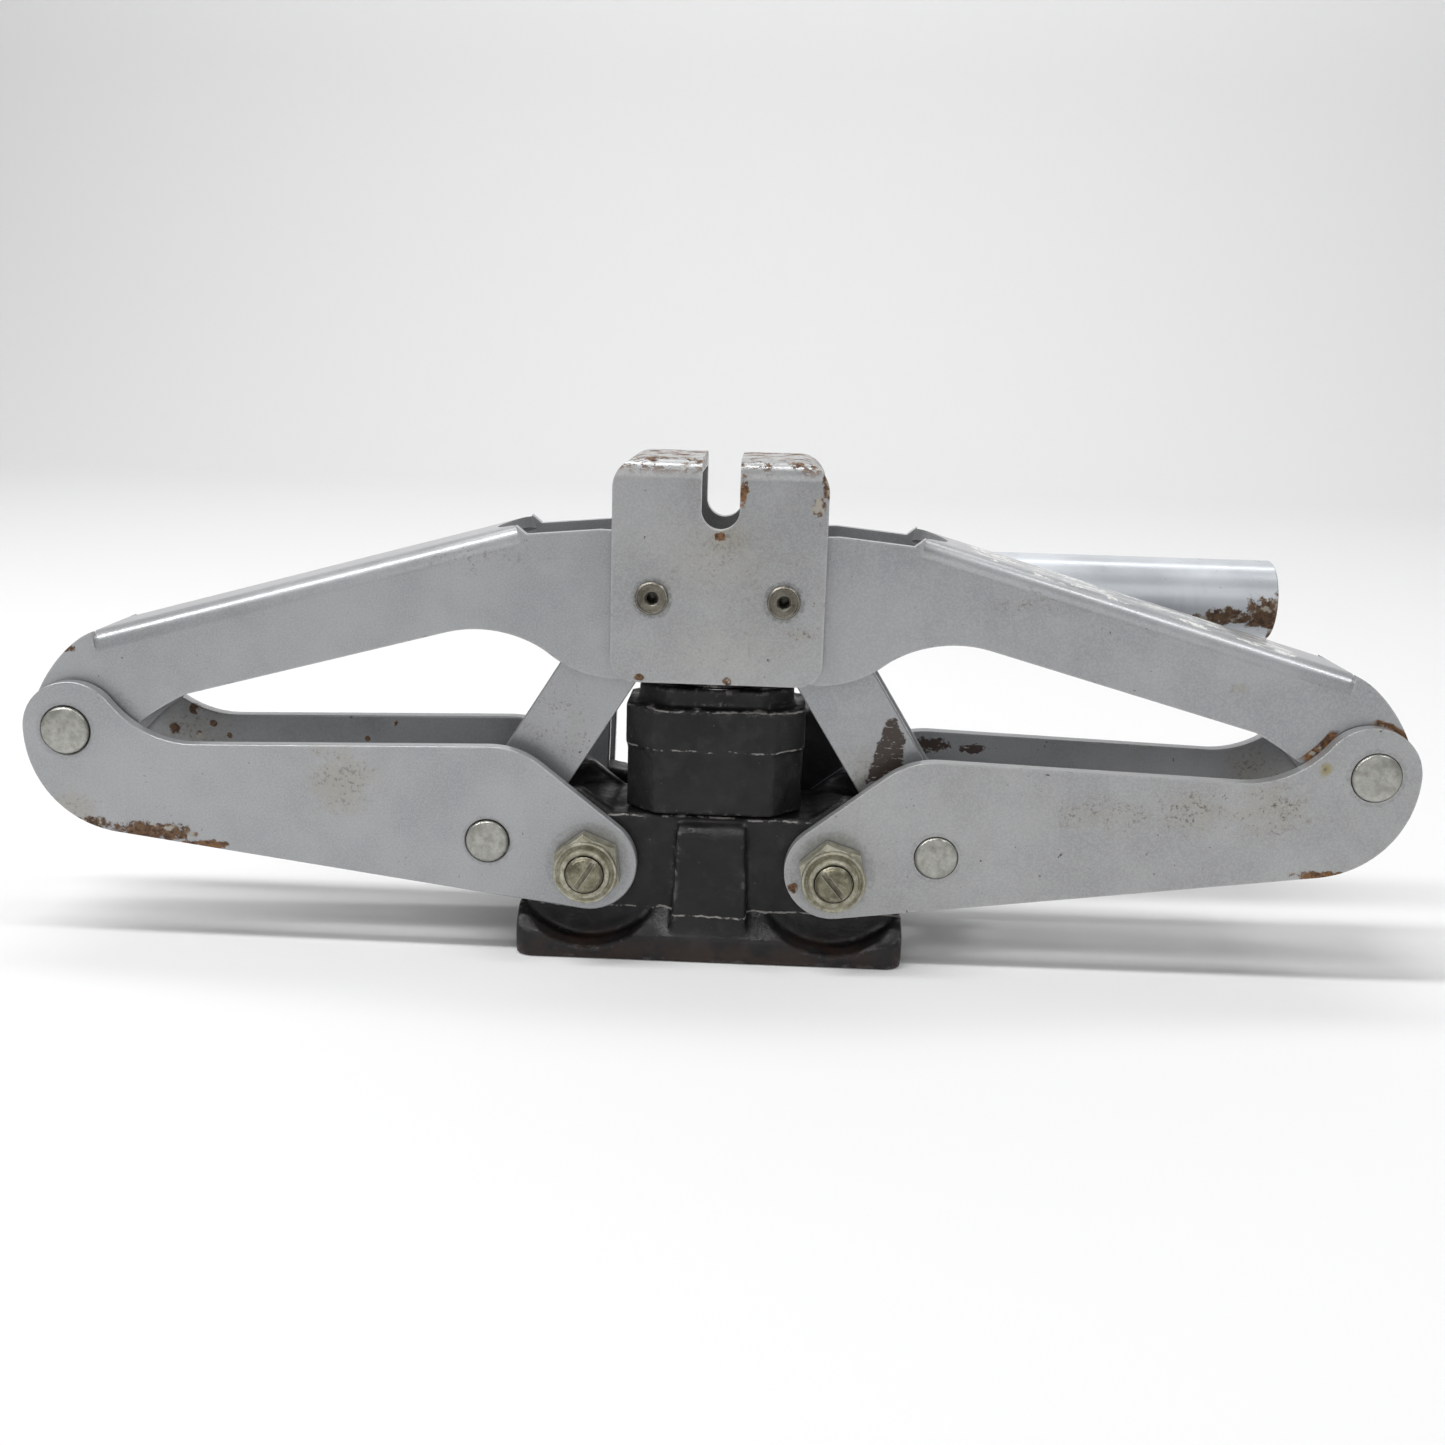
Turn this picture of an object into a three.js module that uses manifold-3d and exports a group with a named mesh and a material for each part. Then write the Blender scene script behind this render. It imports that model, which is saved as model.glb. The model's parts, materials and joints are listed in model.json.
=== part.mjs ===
// Hydraulic scissor car jack, collapsed. Millimetres, +Z up.
// Origin: middle of the ram axis, on the floor under the base.
// +X points along the pump handle socket, +Y to the rear, where the pump is.
import * as THREE from 'three';
import { mergeVertices } from 'three/addons/utils/BufferGeometryUtils.js';
import Module from 'manifold-3d';

const wasm = await Module();
wasm.setup();

// ---------------------------------------------------------------- driving dimensions
// Pivot places of the right-hand half, seen from the front; the left half mirrors them.
const BASE_PIVOT_X = 35.8;
const BASE_PIVOT_Z = 27.6;
const OUTER_PIVOT_X = 189;
const OUTER_PIVOT_Z = 62.2;
const SADDLE_PIVOT_X = 18.6;
const SADDLE_PIVOT_Z = 106.8;
const LINK_PIVOT_OUT = 29.8; // from the base pivot
const LINK_PIVOT_UP = 5.8;
const CROSS_PIVOT_X = 21.5;
const CROSS_PIVOT_Z = 104;

// Ram, and the tubes round it
const RAM_R = 8.5;
const PISTON_STEP = 2.5; // bore larger than the ram
const CYLINDER_WALL = 3;
const BORE_FLOOR = 14;
const BORE_FOOT = 2.7; // floor of the tube
const RAM_FIT = 0.3;
const STATIC_FIT = 0.3;

// Plates, from the middle outwards
const CROSSHEAD_INSET = 0.3; // narrower than the ram
const LINK_GAP = 0.4;
const LINK_PLATE = 3.8;
const CHANNEL_GAP = 1.7;
const CHANNEL_WALL = 3.1;
const ARM_GAP = 0.6;
const ARM_PLATE = 4.2;
const SADDLE_PLATE = 4.2;
const BLOCK_GAP = 0.6;

// Lower arms
const ARM_END_R = 14.2;
const ARM_HEAD_R = 14.4;
const ARM_NECK_R = 30;
const ARM_NECK_DROP = 2.9; // top edge below the outer pivot, at the head
const ARM_BELLY_DROP = 30.4; // bottom edge below the outer pivot, at the head
const ARM_SHOULDER_OUT = 21; // corner of the slanted edge, outwards from the base pivot
const ARM_SHOULDER_CUT = 9; // length of the rounding on each side of that corner
const ARM_HEAD_IN = 1.6; // head circle inwards of the outer pivot
const ARM_BELLY_IN = 13; // end of the bottom edge, inwards of the outer pivot

// Upper arms
const CHANNEL_BEND_R = 6;
const CHANNEL_HEAD_R = 12.3;
const CHANNEL_DEPTH = 24; // across the side plate, half way along
const CHANNEL_LOBE_DROP = 24.5; // lobe below the saddle pivot
const CHANNEL_RISE = 17.8; // edge above the saddle pivot
const CHANNEL_WEB_ZONE = 60; // taller than the side plate
const WEB_START = new THREE.Vector2(39.4, 18.6); // from the saddle pivot
const WEB_BITE_R = 15; // round cut in the web's inner end
const WEB_BITE_DEPTH = 8;
const WEB_END = new THREE.Vector2(-7, 28.2); // from the outer pivot
const HEEL_IN = 27; // straight underside stops short of the web's outer end
const HEEL_LIFT = 7.6;
const WAIST_OUT = 20; // and starts outwards of the web's inner end
const WAIST_DROP = 6.3;
const LOBE_OUT = 10.4; // lowest place of the lobe, outwards of the saddle pivot

// Saddle
const SADDLE_HALF = 30.2;
const SADDLE_TOP = 146;
const SADDLE_BOTTOM = 82.5;
const SADDLE_BEND_R = 6;
const SADDLE_CORNER_R = 7; // lower corners
const SADDLE_CROWN_R = 8.5; // upper corners
const SLOT_WIDTH = 10.8;
const SLOT_FLOOR = 126.4;

// Pins, rivets and bolts
const OUTER_PIN_R = 7;
const LINK_PIN_R = 6.2;
const CROSS_PIN_R = 5;
const RIVET_R = 3.2;
const RIVET_HEAD_R = 4.7;
const RIVET_BORE_R = 1.6;
const RIVET_HEAD = 1.3;
const RIVET_FLARE = 0.8;
const RIVET_END_FIT = 0.2;
const BOLT_R = 5.8;
const BOLT_FACE_FIT = 0.4;
const BOLT_END = 2.2; // past the nut
const THREAD_FIT = 0.25;
const HEX_STEP = 4.7; // corner of the hexagon beyond the bolt's radius
const NUT_HEX = 5.6;
const NUT_COLLAR = 4.4;
const COLLAR_STEP = 2.5;
const BOLT_HEAD = 7.2;
const SLOT_HALF = 0.7; // slot in the bolt's end
const SLOT_DEPTH = 1.2;
const PIN_FIT = 0.3;
const OPEN_LINK_FIT = 2.3; // open pivot of the links
const OPEN_SADDLE_FIT = 1.8; // open pivot of the right upper arm
const PIN_PROUD = 1.4;
const PIN_CROWN = 0.5;
const LINK_RIM = 2.3; // round the open pivot

// Base casting
const FLANGE_HALF = 57;
const FLANGE_FRONT = 27;
const FLANGE_HEIGHT = 8.6;
const FLANGE_LIP = 7.2; // front edge, from where the top slopes up to the block
const FLANGE_SHOULDER = 14;
const FLANGE_CORNER_R = 5;
const FLANGE_REAR_HALF = 50;
const FLANGE_REAR_EDGE = 3; // past the pump housing
const FLANGE_REAR_LEFT = 4; // more on the fulcrum's side
const SCALLOP_R = 23.8;
const BLOCK_HALF = 34;
const BLOCK_TOP = 42;
const LUG_R = 16;
const EAR_R = 22;
const EAR_PLATE = 4.2;
const RIB_HALF = 9.8; // at its top
const RIB_FOOT = 11.5;
const RIB_OUT = 8;

// Reservoir and gland nut
const TANK_HALF_X = 26.4; // clears the links
const TANK_WALL_Y = 4.4; // beyond the cylinder
const TANK_FACET_X = 9; // slanted corners
const TANK_FACET_Y = 8.4;
const TANK_STEP = 62;
const TANK_SHOULDER = 74;
const TANK_TOP = 79.5;
const TANK_WAIST = 0.5; // lower layer, set in
const TANK_CAP = 3.6; // top layer, set in
const GLAND_INSET = 0.6; // narrower than the cylinder
const GLAND_HEIGHT = 8;
const GLAND_THREAD = 10;
const WIPER_HALF = 1.3;
const PLUG_X = 14;
const PLUG_UP = 6; // over the tank's step
const PLUG_R = 3;

// Pump, lever and socket
const PUMP_SETBACK = 24; // behind the rear arm plates
const PLUNGER_X = -14;
const PLUNGER_PIN_Z = 97;
const PLUNGER_R = 5.5;
const LEVER_ARM = 28;
const LEVER_TILT = 9; // degrees, fulcrum pin above the plunger pin
const FULCRUM_X = -43.5;
const FULCRUM_Z = 34;
const FULCRUM_HALF = 7.4;
const FULCRUM_PLATE = 3.4;
const FULCRUM_GAP = 1.1;
const LUG_GAP = 2.6;
const LEVER_PIN_R = 4;
const OPEN_LEVER_FIT = 0.8; // open pivot of the fulcrum links
const SOCKET_R = 12.7;
const SOCKET_WALL = 2;
const SOCKET_START = 34;
const SOCKET_END = 173.5;
const SOCKET_Z = 102.3;
const LEVER_PLATE = 3;
const LEVER_GAP = 0.4;
const PIN_HEAD = 1.6;
const PIN_END = 2.2;
const EYE_HALF = 7.5;
const EYE_R = 8;
const HOUSING_LEFT = -29;
const HOUSING_RIGHT = 44;
const HOUSING_HALF_Y = 13.5;
const HOUSING_TOP = 64;
const BARREL_R = 9.5;
const BARREL_TOP = 78;
const BARREL_FOOT = 24;
const BARREL_NUT = 9;
const VALVE_Z = 24;
const VALVE_R = 6.5;
const VALVE_HEAD = 9;
const VALVE_STEM = 2; // stem narrower than the head

const ROUND = 24; // sides of a full-size round piece
const ARC_STEPS = 4;

// ---------------------------------------------------------------- derived sizes and layers
const BORE_R = RAM_R + PISTON_STEP;
const CYLINDER_R = BORE_R + CYLINDER_WALL;
const GLAND_R = CYLINDER_R - GLAND_INSET;
const TANK_HALF_Y = CYLINDER_R + TANK_WALL_Y;
const CROSSHEAD_HALF = RAM_R - CROSSHEAD_INSET;
const LINK_HALF = LINK_PIN_R + OPEN_LINK_FIT + LINK_RIM;
const HEX_R = BOLT_R + HEX_STEP;

const LINK_IN = CROSSHEAD_HALF + LINK_GAP;
const LINK_OUT = LINK_IN + LINK_PLATE;
const CHANNEL_IN = LINK_OUT + CHANNEL_GAP;
const CHANNEL_OUT = CHANNEL_IN + CHANNEL_WALL;
const ARM_IN = CHANNEL_OUT + ARM_GAP;
const ARM_OUT = ARM_IN + ARM_PLATE;
const SADDLE_OUT = ARM_IN + SADDLE_PLATE;
const BLOCK_Y = ARM_IN - BLOCK_GAP;
const BOLT_FACE = ARM_OUT + BOLT_FACE_FIT;
const PUMP_Y = ARM_OUT + PUMP_SETBACK;
const LEVER_IN = SOCKET_R + LEVER_GAP;
const LEVER_OUT = LEVER_IN + LEVER_PLATE;
const FULCRUM_OUT = LEVER_IN - FULCRUM_GAP;
const FULCRUM_IN = FULCRUM_OUT - FULCRUM_PLATE;

const BASE_PIVOT = new THREE.Vector2(BASE_PIVOT_X, BASE_PIVOT_Z);
const BASE_PIVOT_LEFT = new THREE.Vector2(-BASE_PIVOT_X, BASE_PIVOT_Z);
const OUTER_PIVOT = new THREE.Vector2(OUTER_PIVOT_X, OUTER_PIVOT_Z);
const SADDLE_PIVOT = new THREE.Vector2(SADDLE_PIVOT_X, SADDLE_PIVOT_Z);
const LINK_PIVOT = new THREE.Vector2(BASE_PIVOT_X + LINK_PIVOT_OUT, BASE_PIVOT_Z + LINK_PIVOT_UP);
const CROSS_PIVOT = new THREE.Vector2(CROSS_PIVOT_X, CROSS_PIVOT_Z);
const LEVER_TILT_RAD = THREE.MathUtils.degToRad(LEVER_TILT);
const PLUNGER_PIN = new THREE.Vector2(PLUNGER_X, PLUNGER_PIN_Z);
const FULCRUM_TOP = new THREE.Vector2(
  PLUNGER_X - LEVER_ARM * Math.cos(LEVER_TILT_RAD),
  PLUNGER_PIN_Z + LEVER_ARM * Math.sin(LEVER_TILT_RAD),
);
const FULCRUM_FOOT = new THREE.Vector2(FULCRUM_X, FULCRUM_Z);

// ---------------------------------------------------------------- finishes
const SILVER = new THREE.MeshStandardMaterial({ color: 0x9da1a6, roughness: 0.42, metalness: 0.55 });
const BLACK = new THREE.MeshStandardMaterial({ color: 0x1d1d1f, roughness: 0.5, metalness: 0.1 });
const ZINC = new THREE.MeshStandardMaterial({ color: 0xa9a792, roughness: 0.4, metalness: 0.9 });
const STEEL = new THREE.MeshStandardMaterial({ color: 0xb4b6b8, roughness: 0.25, metalness: 1 });
const RUBBER = new THREE.MeshStandardMaterial({ color: 0x202020, roughness: 0.8, metalness: 0 });

// ---------------------------------------------------------------- solids and booleans
function toSolid(geometry) {
  const bare = geometry.clone();
  bare.deleteAttribute('normal');
  bare.deleteAttribute('uv');
  const merged = mergeVertices(bare, 1e-4);
  return new wasm.Manifold(new wasm.Mesh({
    numProp: 3,
    vertProperties: Float32Array.from(merged.attributes.position.array),
    triVerts: Uint32Array.from(merged.index.array),
  }));
}

function toGeometry(solid) {
  const mesh = solid.getMesh();
  const geometry = new THREE.BufferGeometry();
  geometry.setAttribute('position', new THREE.BufferAttribute(Float32Array.from(mesh.vertProperties), 3));
  geometry.setIndex(new THREE.BufferAttribute(Uint32Array.from(mesh.triVerts), 1));
  geometry.computeVertexNormals();
  return geometry;
}

const joined = (...solids) => solids.reduce((whole, piece) => whole.add(piece));
const cut = (body, ...tools) => tools.reduce((rest, tool) => rest.subtract(tool), body);

// A flat outline in X and Z, given thickness along Y.
function plate(shape, yFrom, yTo, curveSegments = ARC_STEPS) {
  const options = { depth: yTo - yFrom, bevelEnabled: false, curveSegments };
  const geometry = new THREE.ExtrudeGeometry(shape, options);
  geometry.rotateX(Math.PI / 2);
  geometry.translate(0, yTo, 0);
  return toSolid(geometry);
}

// A flat outline in X and Y, given height along Z.
function slab(shape, zFrom, zTo, curveSegments = ARC_STEPS) {
  const options = { depth: zTo - zFrom, bevelEnabled: false, curveSegments };
  const geometry = new THREE.ExtrudeGeometry(shape, options);
  geometry.translate(0, 0, zFrom);
  return toSolid(geometry);
}

function box(xFrom, xTo, yFrom, yTo, zFrom, zTo) {
  const geometry = new THREE.BoxGeometry(xTo - xFrom, yTo - yFrom, zTo - zFrom);
  geometry.translate((xFrom + xTo) / 2, (yFrom + yTo) / 2, (zFrom + zTo) / 2);
  return toSolid(geometry);
}

// A turned piece. The profile holds [radius, place along the axis] pairs, in rising order outside.
function turned(profile, axis, sides = ROUND) {
  const points = profile.map(([radius, along]) => new THREE.Vector2(radius, along));
  const geometry = new THREE.LatheGeometry(points, sides);
  if (axis === 'x') geometry.rotateZ(-Math.PI / 2);
  if (axis === 'z') geometry.rotateX(Math.PI / 2);
  return geometry;
}

function turnedSolid(profile, axis, at, sides = ROUND) {
  const geometry = turned(profile, axis, sides);
  geometry.translate(at.x ?? 0, at.y ?? 0, at.z ?? 0);
  return toSolid(geometry);
}

const rodProfile = (radius, from, to) => [[0, from], [radius, from], [radius, to], [0, to]];
const ringProfile = (inner, outer, from, to) => [
  [inner, from], [outer, from], [outer, to], [inner, to], [inner, from],
];

// A round bar along Y through a pivot.
function barY(pivot, radius, yFrom, yTo, sides = ROUND) {
  return turnedSolid(rodProfile(radius, yFrom, yTo), 'y', { x: pivot.x, z: pivot.y }, sides);
}

function hexY(pivot, radius, yFrom, yTo) {
  return barY(pivot, radius, yFrom, yTo, 6);
}

const mirrored = (solid) => solid.mirror([1, 0, 0]);

const jack = new THREE.Group();

function add(name, solid, material) {
  const mesh = new THREE.Mesh(toGeometry(solid), material.clone());
  mesh.name = name;
  jack.add(mesh);
}

// The right-hand solid, and its mirror image on the left.
function addPair(name, solid, material) {
  add(`${name}_right`, solid, material);
  add(`${name}_left`, mirrored(solid), material);
}

// The point at an angle, in degrees, on a circle.
function onCircle(centre, radius, degrees) {
  const angle = THREE.MathUtils.degToRad(degrees);
  return new THREE.Vector2(centre.x + radius * Math.cos(angle), centre.y + radius * Math.sin(angle));
}

function arcTo(shape, centre, radius, fromDegrees, toDegrees, clockwise) {
  const from = THREE.MathUtils.degToRad(fromDegrees);
  const to = THREE.MathUtils.degToRad(toDegrees);
  shape.absarc(centre.x, centre.y, radius, from, to, clockwise);
}

// The two corners at yTo may have a radius of their own.
function roundedRectangle(xFrom, xTo, yFrom, yTo, radius, farRadius = radius) {
  const shape = new THREE.Shape();
  shape.moveTo(xFrom + radius, yFrom);
  shape.lineTo(xTo - radius, yFrom);
  shape.absarc(xTo - radius, yFrom + radius, radius, -Math.PI / 2, 0, false);
  shape.lineTo(xTo, yTo - farRadius);
  shape.absarc(xTo - farRadius, yTo - farRadius, farRadius, 0, Math.PI / 2, false);
  shape.lineTo(xFrom + farRadius, yTo);
  shape.absarc(xFrom + farRadius, yTo - farRadius, farRadius, Math.PI / 2, Math.PI, false);
  shape.lineTo(xFrom, yFrom + radius);
  shape.absarc(xFrom + radius, yFrom + radius, radius, Math.PI, Math.PI * 1.5, false);
  return shape;
}

// A plate outline with round ends about two pivots.
function linkOutline(first, second, radius) {
  const along = Math.atan2(second.y - first.y, second.x - first.x);
  const shape = new THREE.Shape();
  shape.absarc(first.x, first.y, radius, along + Math.PI / 2, along + Math.PI * 1.5, false);
  shape.absarc(second.x, second.y, radius, along - Math.PI / 2, along + Math.PI / 2, false);
  shape.closePath();
  return shape;
}

// ---------------------------------------------------------------- lower arms
function lowerArmOutline() {
  const bellyOuter = new THREE.Vector2(OUTER_PIVOT_X - ARM_BELLY_IN, OUTER_PIVOT_Z - ARM_BELLY_DROP);
  const bellySlope = tangentSlope(BASE_PIVOT, ARM_END_R, bellyOuter);
  const shoulder = new THREE.Vector2(BASE_PIVOT_X + ARM_SHOULDER_OUT, OUTER_PIVOT_Z);
  const slant = shoulderSlant(shoulder);
  const head = new THREE.Vector2(OUTER_PIVOT_X - ARM_HEAD_IN, OUTER_PIVOT_Z);
  const neckZ = OUTER_PIVOT_Z - ARM_NECK_DROP + ARM_NECK_R;
  const reach = ARM_NECK_R + ARM_HEAD_R;
  const neck = new THREE.Vector2(head.x - Math.sqrt(reach ** 2 - (neckZ - head.y) ** 2), neckZ);
  const neckEnd = THREE.MathUtils.radToDeg(Math.atan2(head.y - neck.y, head.x - neck.x));
  const cornerIn = shoulder.clone().add(onCircle(new THREE.Vector2(), ARM_SHOULDER_CUT, slant + 180));
  const right = head.x + ARM_HEAD_R;

  const shape = new THREE.Shape();
  arcTo(shape, BASE_PIVOT, ARM_END_R, bellySlope - 90, slant + 90 - 360, true);
  shape.lineTo(cornerIn.x, cornerIn.y);
  shape.quadraticCurveTo(shoulder.x, shoulder.y, shoulder.x + ARM_SHOULDER_CUT, shoulder.y - 0.3);
  arcTo(shape, neck, ARM_NECK_R, -90, neckEnd, false);
  arcTo(shape, head, ARM_HEAD_R, neckEnd + 180, 0, true);
  shape.bezierCurveTo(right, head.y - 15, right - 10, bellyOuter.y + 2.4, bellyOuter.x, bellyOuter.y);
  shape.closePath();
  return shape;
}

// Slope, in degrees, of the line from a circle's underside to a point outside it.
function tangentSlope(centre, radius, point) {
  const toPoint = Math.atan2(point.y - centre.y, point.x - centre.x);
  return THREE.MathUtils.radToDeg(toPoint + Math.asin(radius / centre.distanceTo(point)));
}

// Slope of the slanted edge, a line from over the base pivot's end up to the shoulder.
function shoulderSlant(shoulder) {
  const toShoulder = Math.atan2(shoulder.y - BASE_PIVOT.y, shoulder.x - BASE_PIVOT.x);
  const side = Math.asin(ARM_END_R / BASE_PIVOT.distanceTo(shoulder));
  return THREE.MathUtils.radToDeg(toShoulder - side);
}

function lowerArm(yFrom, yTo) {
  return cut(
    plate(lowerArmOutline(), yFrom, yTo),
    barY(BASE_PIVOT, BOLT_R + PIN_FIT, yFrom - 1, yTo + 1),
    barY(OUTER_PIVOT, OUTER_PIN_R + PIN_FIT, yFrom - 1, yTo + 1),
    barY(LINK_PIVOT, LINK_PIN_R + PIN_FIT, yFrom - 1, yTo + 1),
  );
}

// A pin with slightly crowned ends.
function pin(pivot, radius, half) {
  const flat = radius - PIN_CROWN * 2;
  const profile = [
    [0, -half], [flat, -half], [radius, -half + PIN_CROWN],
    [radius, half - PIN_CROWN], [flat, half], [0, half],
  ];
  return turnedSolid(profile, 'y', { x: pivot.x, z: pivot.y });
}

function addLowerArms() {
  addPair('lower_arm_front', lowerArm(-ARM_OUT, -ARM_IN), SILVER);
  addPair('lower_arm_rear', lowerArm(ARM_IN, ARM_OUT), SILVER);
  addPair('outer_pin', pin(OUTER_PIVOT, OUTER_PIN_R, ARM_OUT + PIN_PROUD), ZINC);
  addPair('link_pin', pin(LINK_PIVOT, LINK_PIN_R, ARM_OUT + PIN_PROUD), ZINC);
}

// ---------------------------------------------------------------- upper arms
const CHANNEL_TOP_IN = SADDLE_PIVOT.clone().add(WEB_START);
const CHANNEL_TOP_OUT = OUTER_PIVOT.clone().add(WEB_END);
const CHANNEL_SLOPE = Math.atan2(
  CHANNEL_TOP_OUT.y - CHANNEL_TOP_IN.y,
  CHANNEL_TOP_OUT.x - CHANNEL_TOP_IN.x,
);

// The side plate: a lobe round the saddle pivot, a deep beam and a head round the outer pivot.
function upperArmOutline() {
  const dropX = CHANNEL_DEPTH / Math.cos(CHANNEL_SLOPE);
  const heel = new THREE.Vector2(CHANNEL_TOP_OUT.x - HEEL_IN, CHANNEL_TOP_OUT.y + HEEL_LIFT - dropX);
  const waist = new THREE.Vector2(CHANNEL_TOP_IN.x + WAIST_OUT, CHANNEL_TOP_IN.y - WAIST_DROP - dropX);
  const lobe = new THREE.Vector2(SADDLE_PIVOT_X + LOBE_OUT, SADDLE_PIVOT_Z - CHANNEL_LOBE_DROP);
  const inner = SADDLE_PIVOT_X - 1;
  const innerFoot = onCircle(SADDLE_PIVOT, inner, 235);
  const outer = OUTER_PIVOT_X + CHANNEL_HEAD_R;
  const under = onCircle(OUTER_PIVOT, CHANNEL_HEAD_R, 230);

  const shape = new THREE.Shape();
  shape.moveTo(heel.x, heel.y);
  shape.lineTo(waist.x, waist.y);
  shape.bezierCurveTo(waist.x - 12, waist.y + 3.2, lobe.x + 25, lobe.y + 11.5, lobe.x + 18, lobe.y + 5.6);
  shape.bezierCurveTo(lobe.x + 12, lobe.y + 1.6, lobe.x + 6, lobe.y, lobe.x, lobe.y);
  shape.bezierCurveTo(lobe.x - 7.5, lobe.y, innerFoot.x + 4.6, innerFoot.y - 4.2, innerFoot.x, innerFoot.y);
  arcTo(shape, SADDLE_PIVOT, inner, 235, 92, true);
  shape.lineTo(SADDLE_PIVOT_X + 15.4, SADDLE_PIVOT_Z + CHANNEL_RISE + 0.4);
  shape.lineTo(CHANNEL_TOP_IN.x - 3, SADDLE_PIVOT_Z + CHANNEL_RISE - 1.6);
  shape.lineTo(CHANNEL_TOP_IN.x, CHANNEL_TOP_IN.y);
  shape.lineTo(CHANNEL_TOP_OUT.x, CHANNEL_TOP_OUT.y);
  shape.bezierCurveTo(
    CHANNEL_TOP_OUT.x + 8, CHANNEL_TOP_OUT.y - 3.4,
    outer - 0.8, OUTER_PIVOT_Z + 11.3,
    outer, OUTER_PIVOT_Z,
  );
  arcTo(shape, OUTER_PIVOT, CHANNEL_HEAD_R, 0, -130, true);
  shape.bezierCurveTo(under.x - 5, under.y + 7, heel.x + 11, heel.y - 5.9, heel.x, heel.y);
  return shape;
}

// An inverted U with rounded outer and inner bends, drawn in Y and height below the web.
function channelSection(height) {
  const outer = CHANNEL_OUT;
  const inner = CHANNEL_IN;
  const innerBend = Math.max(CHANNEL_BEND_R - CHANNEL_WALL, 0.6);
  const shape = new THREE.Shape();
  shape.moveTo(-outer, -height);
  shape.lineTo(-inner, -height);
  shape.lineTo(-inner, -CHANNEL_WALL - innerBend);
  shape.absarc(-inner + innerBend, -CHANNEL_WALL - innerBend, innerBend, Math.PI, Math.PI / 2, true);
  shape.absarc(inner - innerBend, -CHANNEL_WALL - innerBend, innerBend, Math.PI / 2, 0, true);
  shape.lineTo(inner, -height);
  shape.lineTo(outer, -height);
  shape.absarc(outer - CHANNEL_BEND_R, -CHANNEL_BEND_R, CHANNEL_BEND_R, 0, Math.PI / 2, false);
  shape.absarc(-outer + CHANNEL_BEND_R, -CHANNEL_BEND_R, CHANNEL_BEND_R, Math.PI / 2, Math.PI, false);
  shape.closePath();
  return shape;
}

// Puts a geometry that runs along X, from the origin, on the top edge of the arm.
function alongChannel(geometry) {
  geometry.rotateY(-CHANNEL_SLOPE);
  geometry.translate(CHANNEL_TOP_IN.x, 0, CHANNEL_TOP_IN.y);
  return toSolid(geometry);
}

// A section drawn in Y and Z, run along X from 0 to a length.
function runAlongX(section, length) {
  const options = { depth: length, bevelEnabled: false, curveSegments: 3 };
  const geometry = new THREE.ExtrudeGeometry(section, options);
  const frame = new THREE.Matrix4().makeBasis(
    new THREE.Vector3(0, -1, 0),
    new THREE.Vector3(0, 0, 1),
    new THREE.Vector3(-1, 0, 0),
  );
  geometry.applyMatrix4(frame);
  geometry.translate(length, 0, 0);
  return geometry;
}

// The stretch of the arm that has a web over it, as a block wider and deeper than the arm.
function webZone(length) {
  const geometry = new THREE.BoxGeometry(length - 0.4, CHANNEL_OUT * 3, CHANNEL_WEB_ZONE * 2);
  geometry.translate(length / 2, 0, 0);
  return alongChannel(geometry);
}

// The round cut that leaves a horn at each bend.
function webBite() {
  const bite = new THREE.CylinderGeometry(WEB_BITE_R, WEB_BITE_R, CHANNEL_WALL * 4, ROUND * 2);
  bite.rotateX(Math.PI / 2);
  bite.translate(WEB_BITE_DEPTH - WEB_BITE_R, 0, 0);
  return alongChannel(bite);
}

function upperArm(saddleFit) {
  const outline = upperArmOutline();
  const length = CHANNEL_TOP_IN.distanceTo(CHANNEL_TOP_OUT);
  const reach = CHANNEL_OUT + 10;
  const sides = joined(
    plate(outline, -CHANNEL_OUT, -CHANNEL_IN),
    plate(outline, CHANNEL_IN, CHANNEL_OUT),
  );
  const section = alongChannel(runAlongX(channelSection(CHANNEL_WEB_ZONE), length));
  const beam = plate(outline, -CHANNEL_OUT, CHANNEL_OUT).intersect(section);
  return cut(
    joined(cut(beam, webBite()), cut(sides, webZone(length))),
    barY(OUTER_PIVOT, OUTER_PIN_R + PIN_FIT, -reach, reach),
    barY(SADDLE_PIVOT, RIVET_R + saddleFit, -reach, reach, 16),
  );
}

function addUpperArms() {
  add('upper_arm_right', upperArm(OPEN_SADDLE_FIT), SILVER);
  add('upper_arm_left', mirrored(upperArm(PIN_FIT)), SILVER);
}

// ---------------------------------------------------------------- saddle
function saddleSection() {
  const innerBend = Math.max(SADDLE_BEND_R - SADDLE_PLATE, 0.6);
  const innerTop = SADDLE_TOP - SADDLE_PLATE;
  const shape = new THREE.Shape();
  shape.moveTo(-SADDLE_OUT, SADDLE_BOTTOM);
  shape.lineTo(-ARM_IN, SADDLE_BOTTOM);
  shape.absarc(-ARM_IN + innerBend, innerTop - innerBend, innerBend, Math.PI, Math.PI / 2, true);
  shape.absarc(ARM_IN - innerBend, innerTop - innerBend, innerBend, Math.PI / 2, 0, true);
  shape.lineTo(ARM_IN, SADDLE_BOTTOM);
  shape.lineTo(SADDLE_OUT, SADDLE_BOTTOM);
  shape.absarc(SADDLE_OUT - SADDLE_BEND_R, SADDLE_TOP - SADDLE_BEND_R, SADDLE_BEND_R, 0, Math.PI / 2, false);
  shape.absarc(-SADDLE_OUT + SADDLE_BEND_R, SADDLE_TOP - SADDLE_BEND_R, SADDLE_BEND_R,
    Math.PI / 2, Math.PI, false);
  shape.closePath();
  return shape;
}

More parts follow.
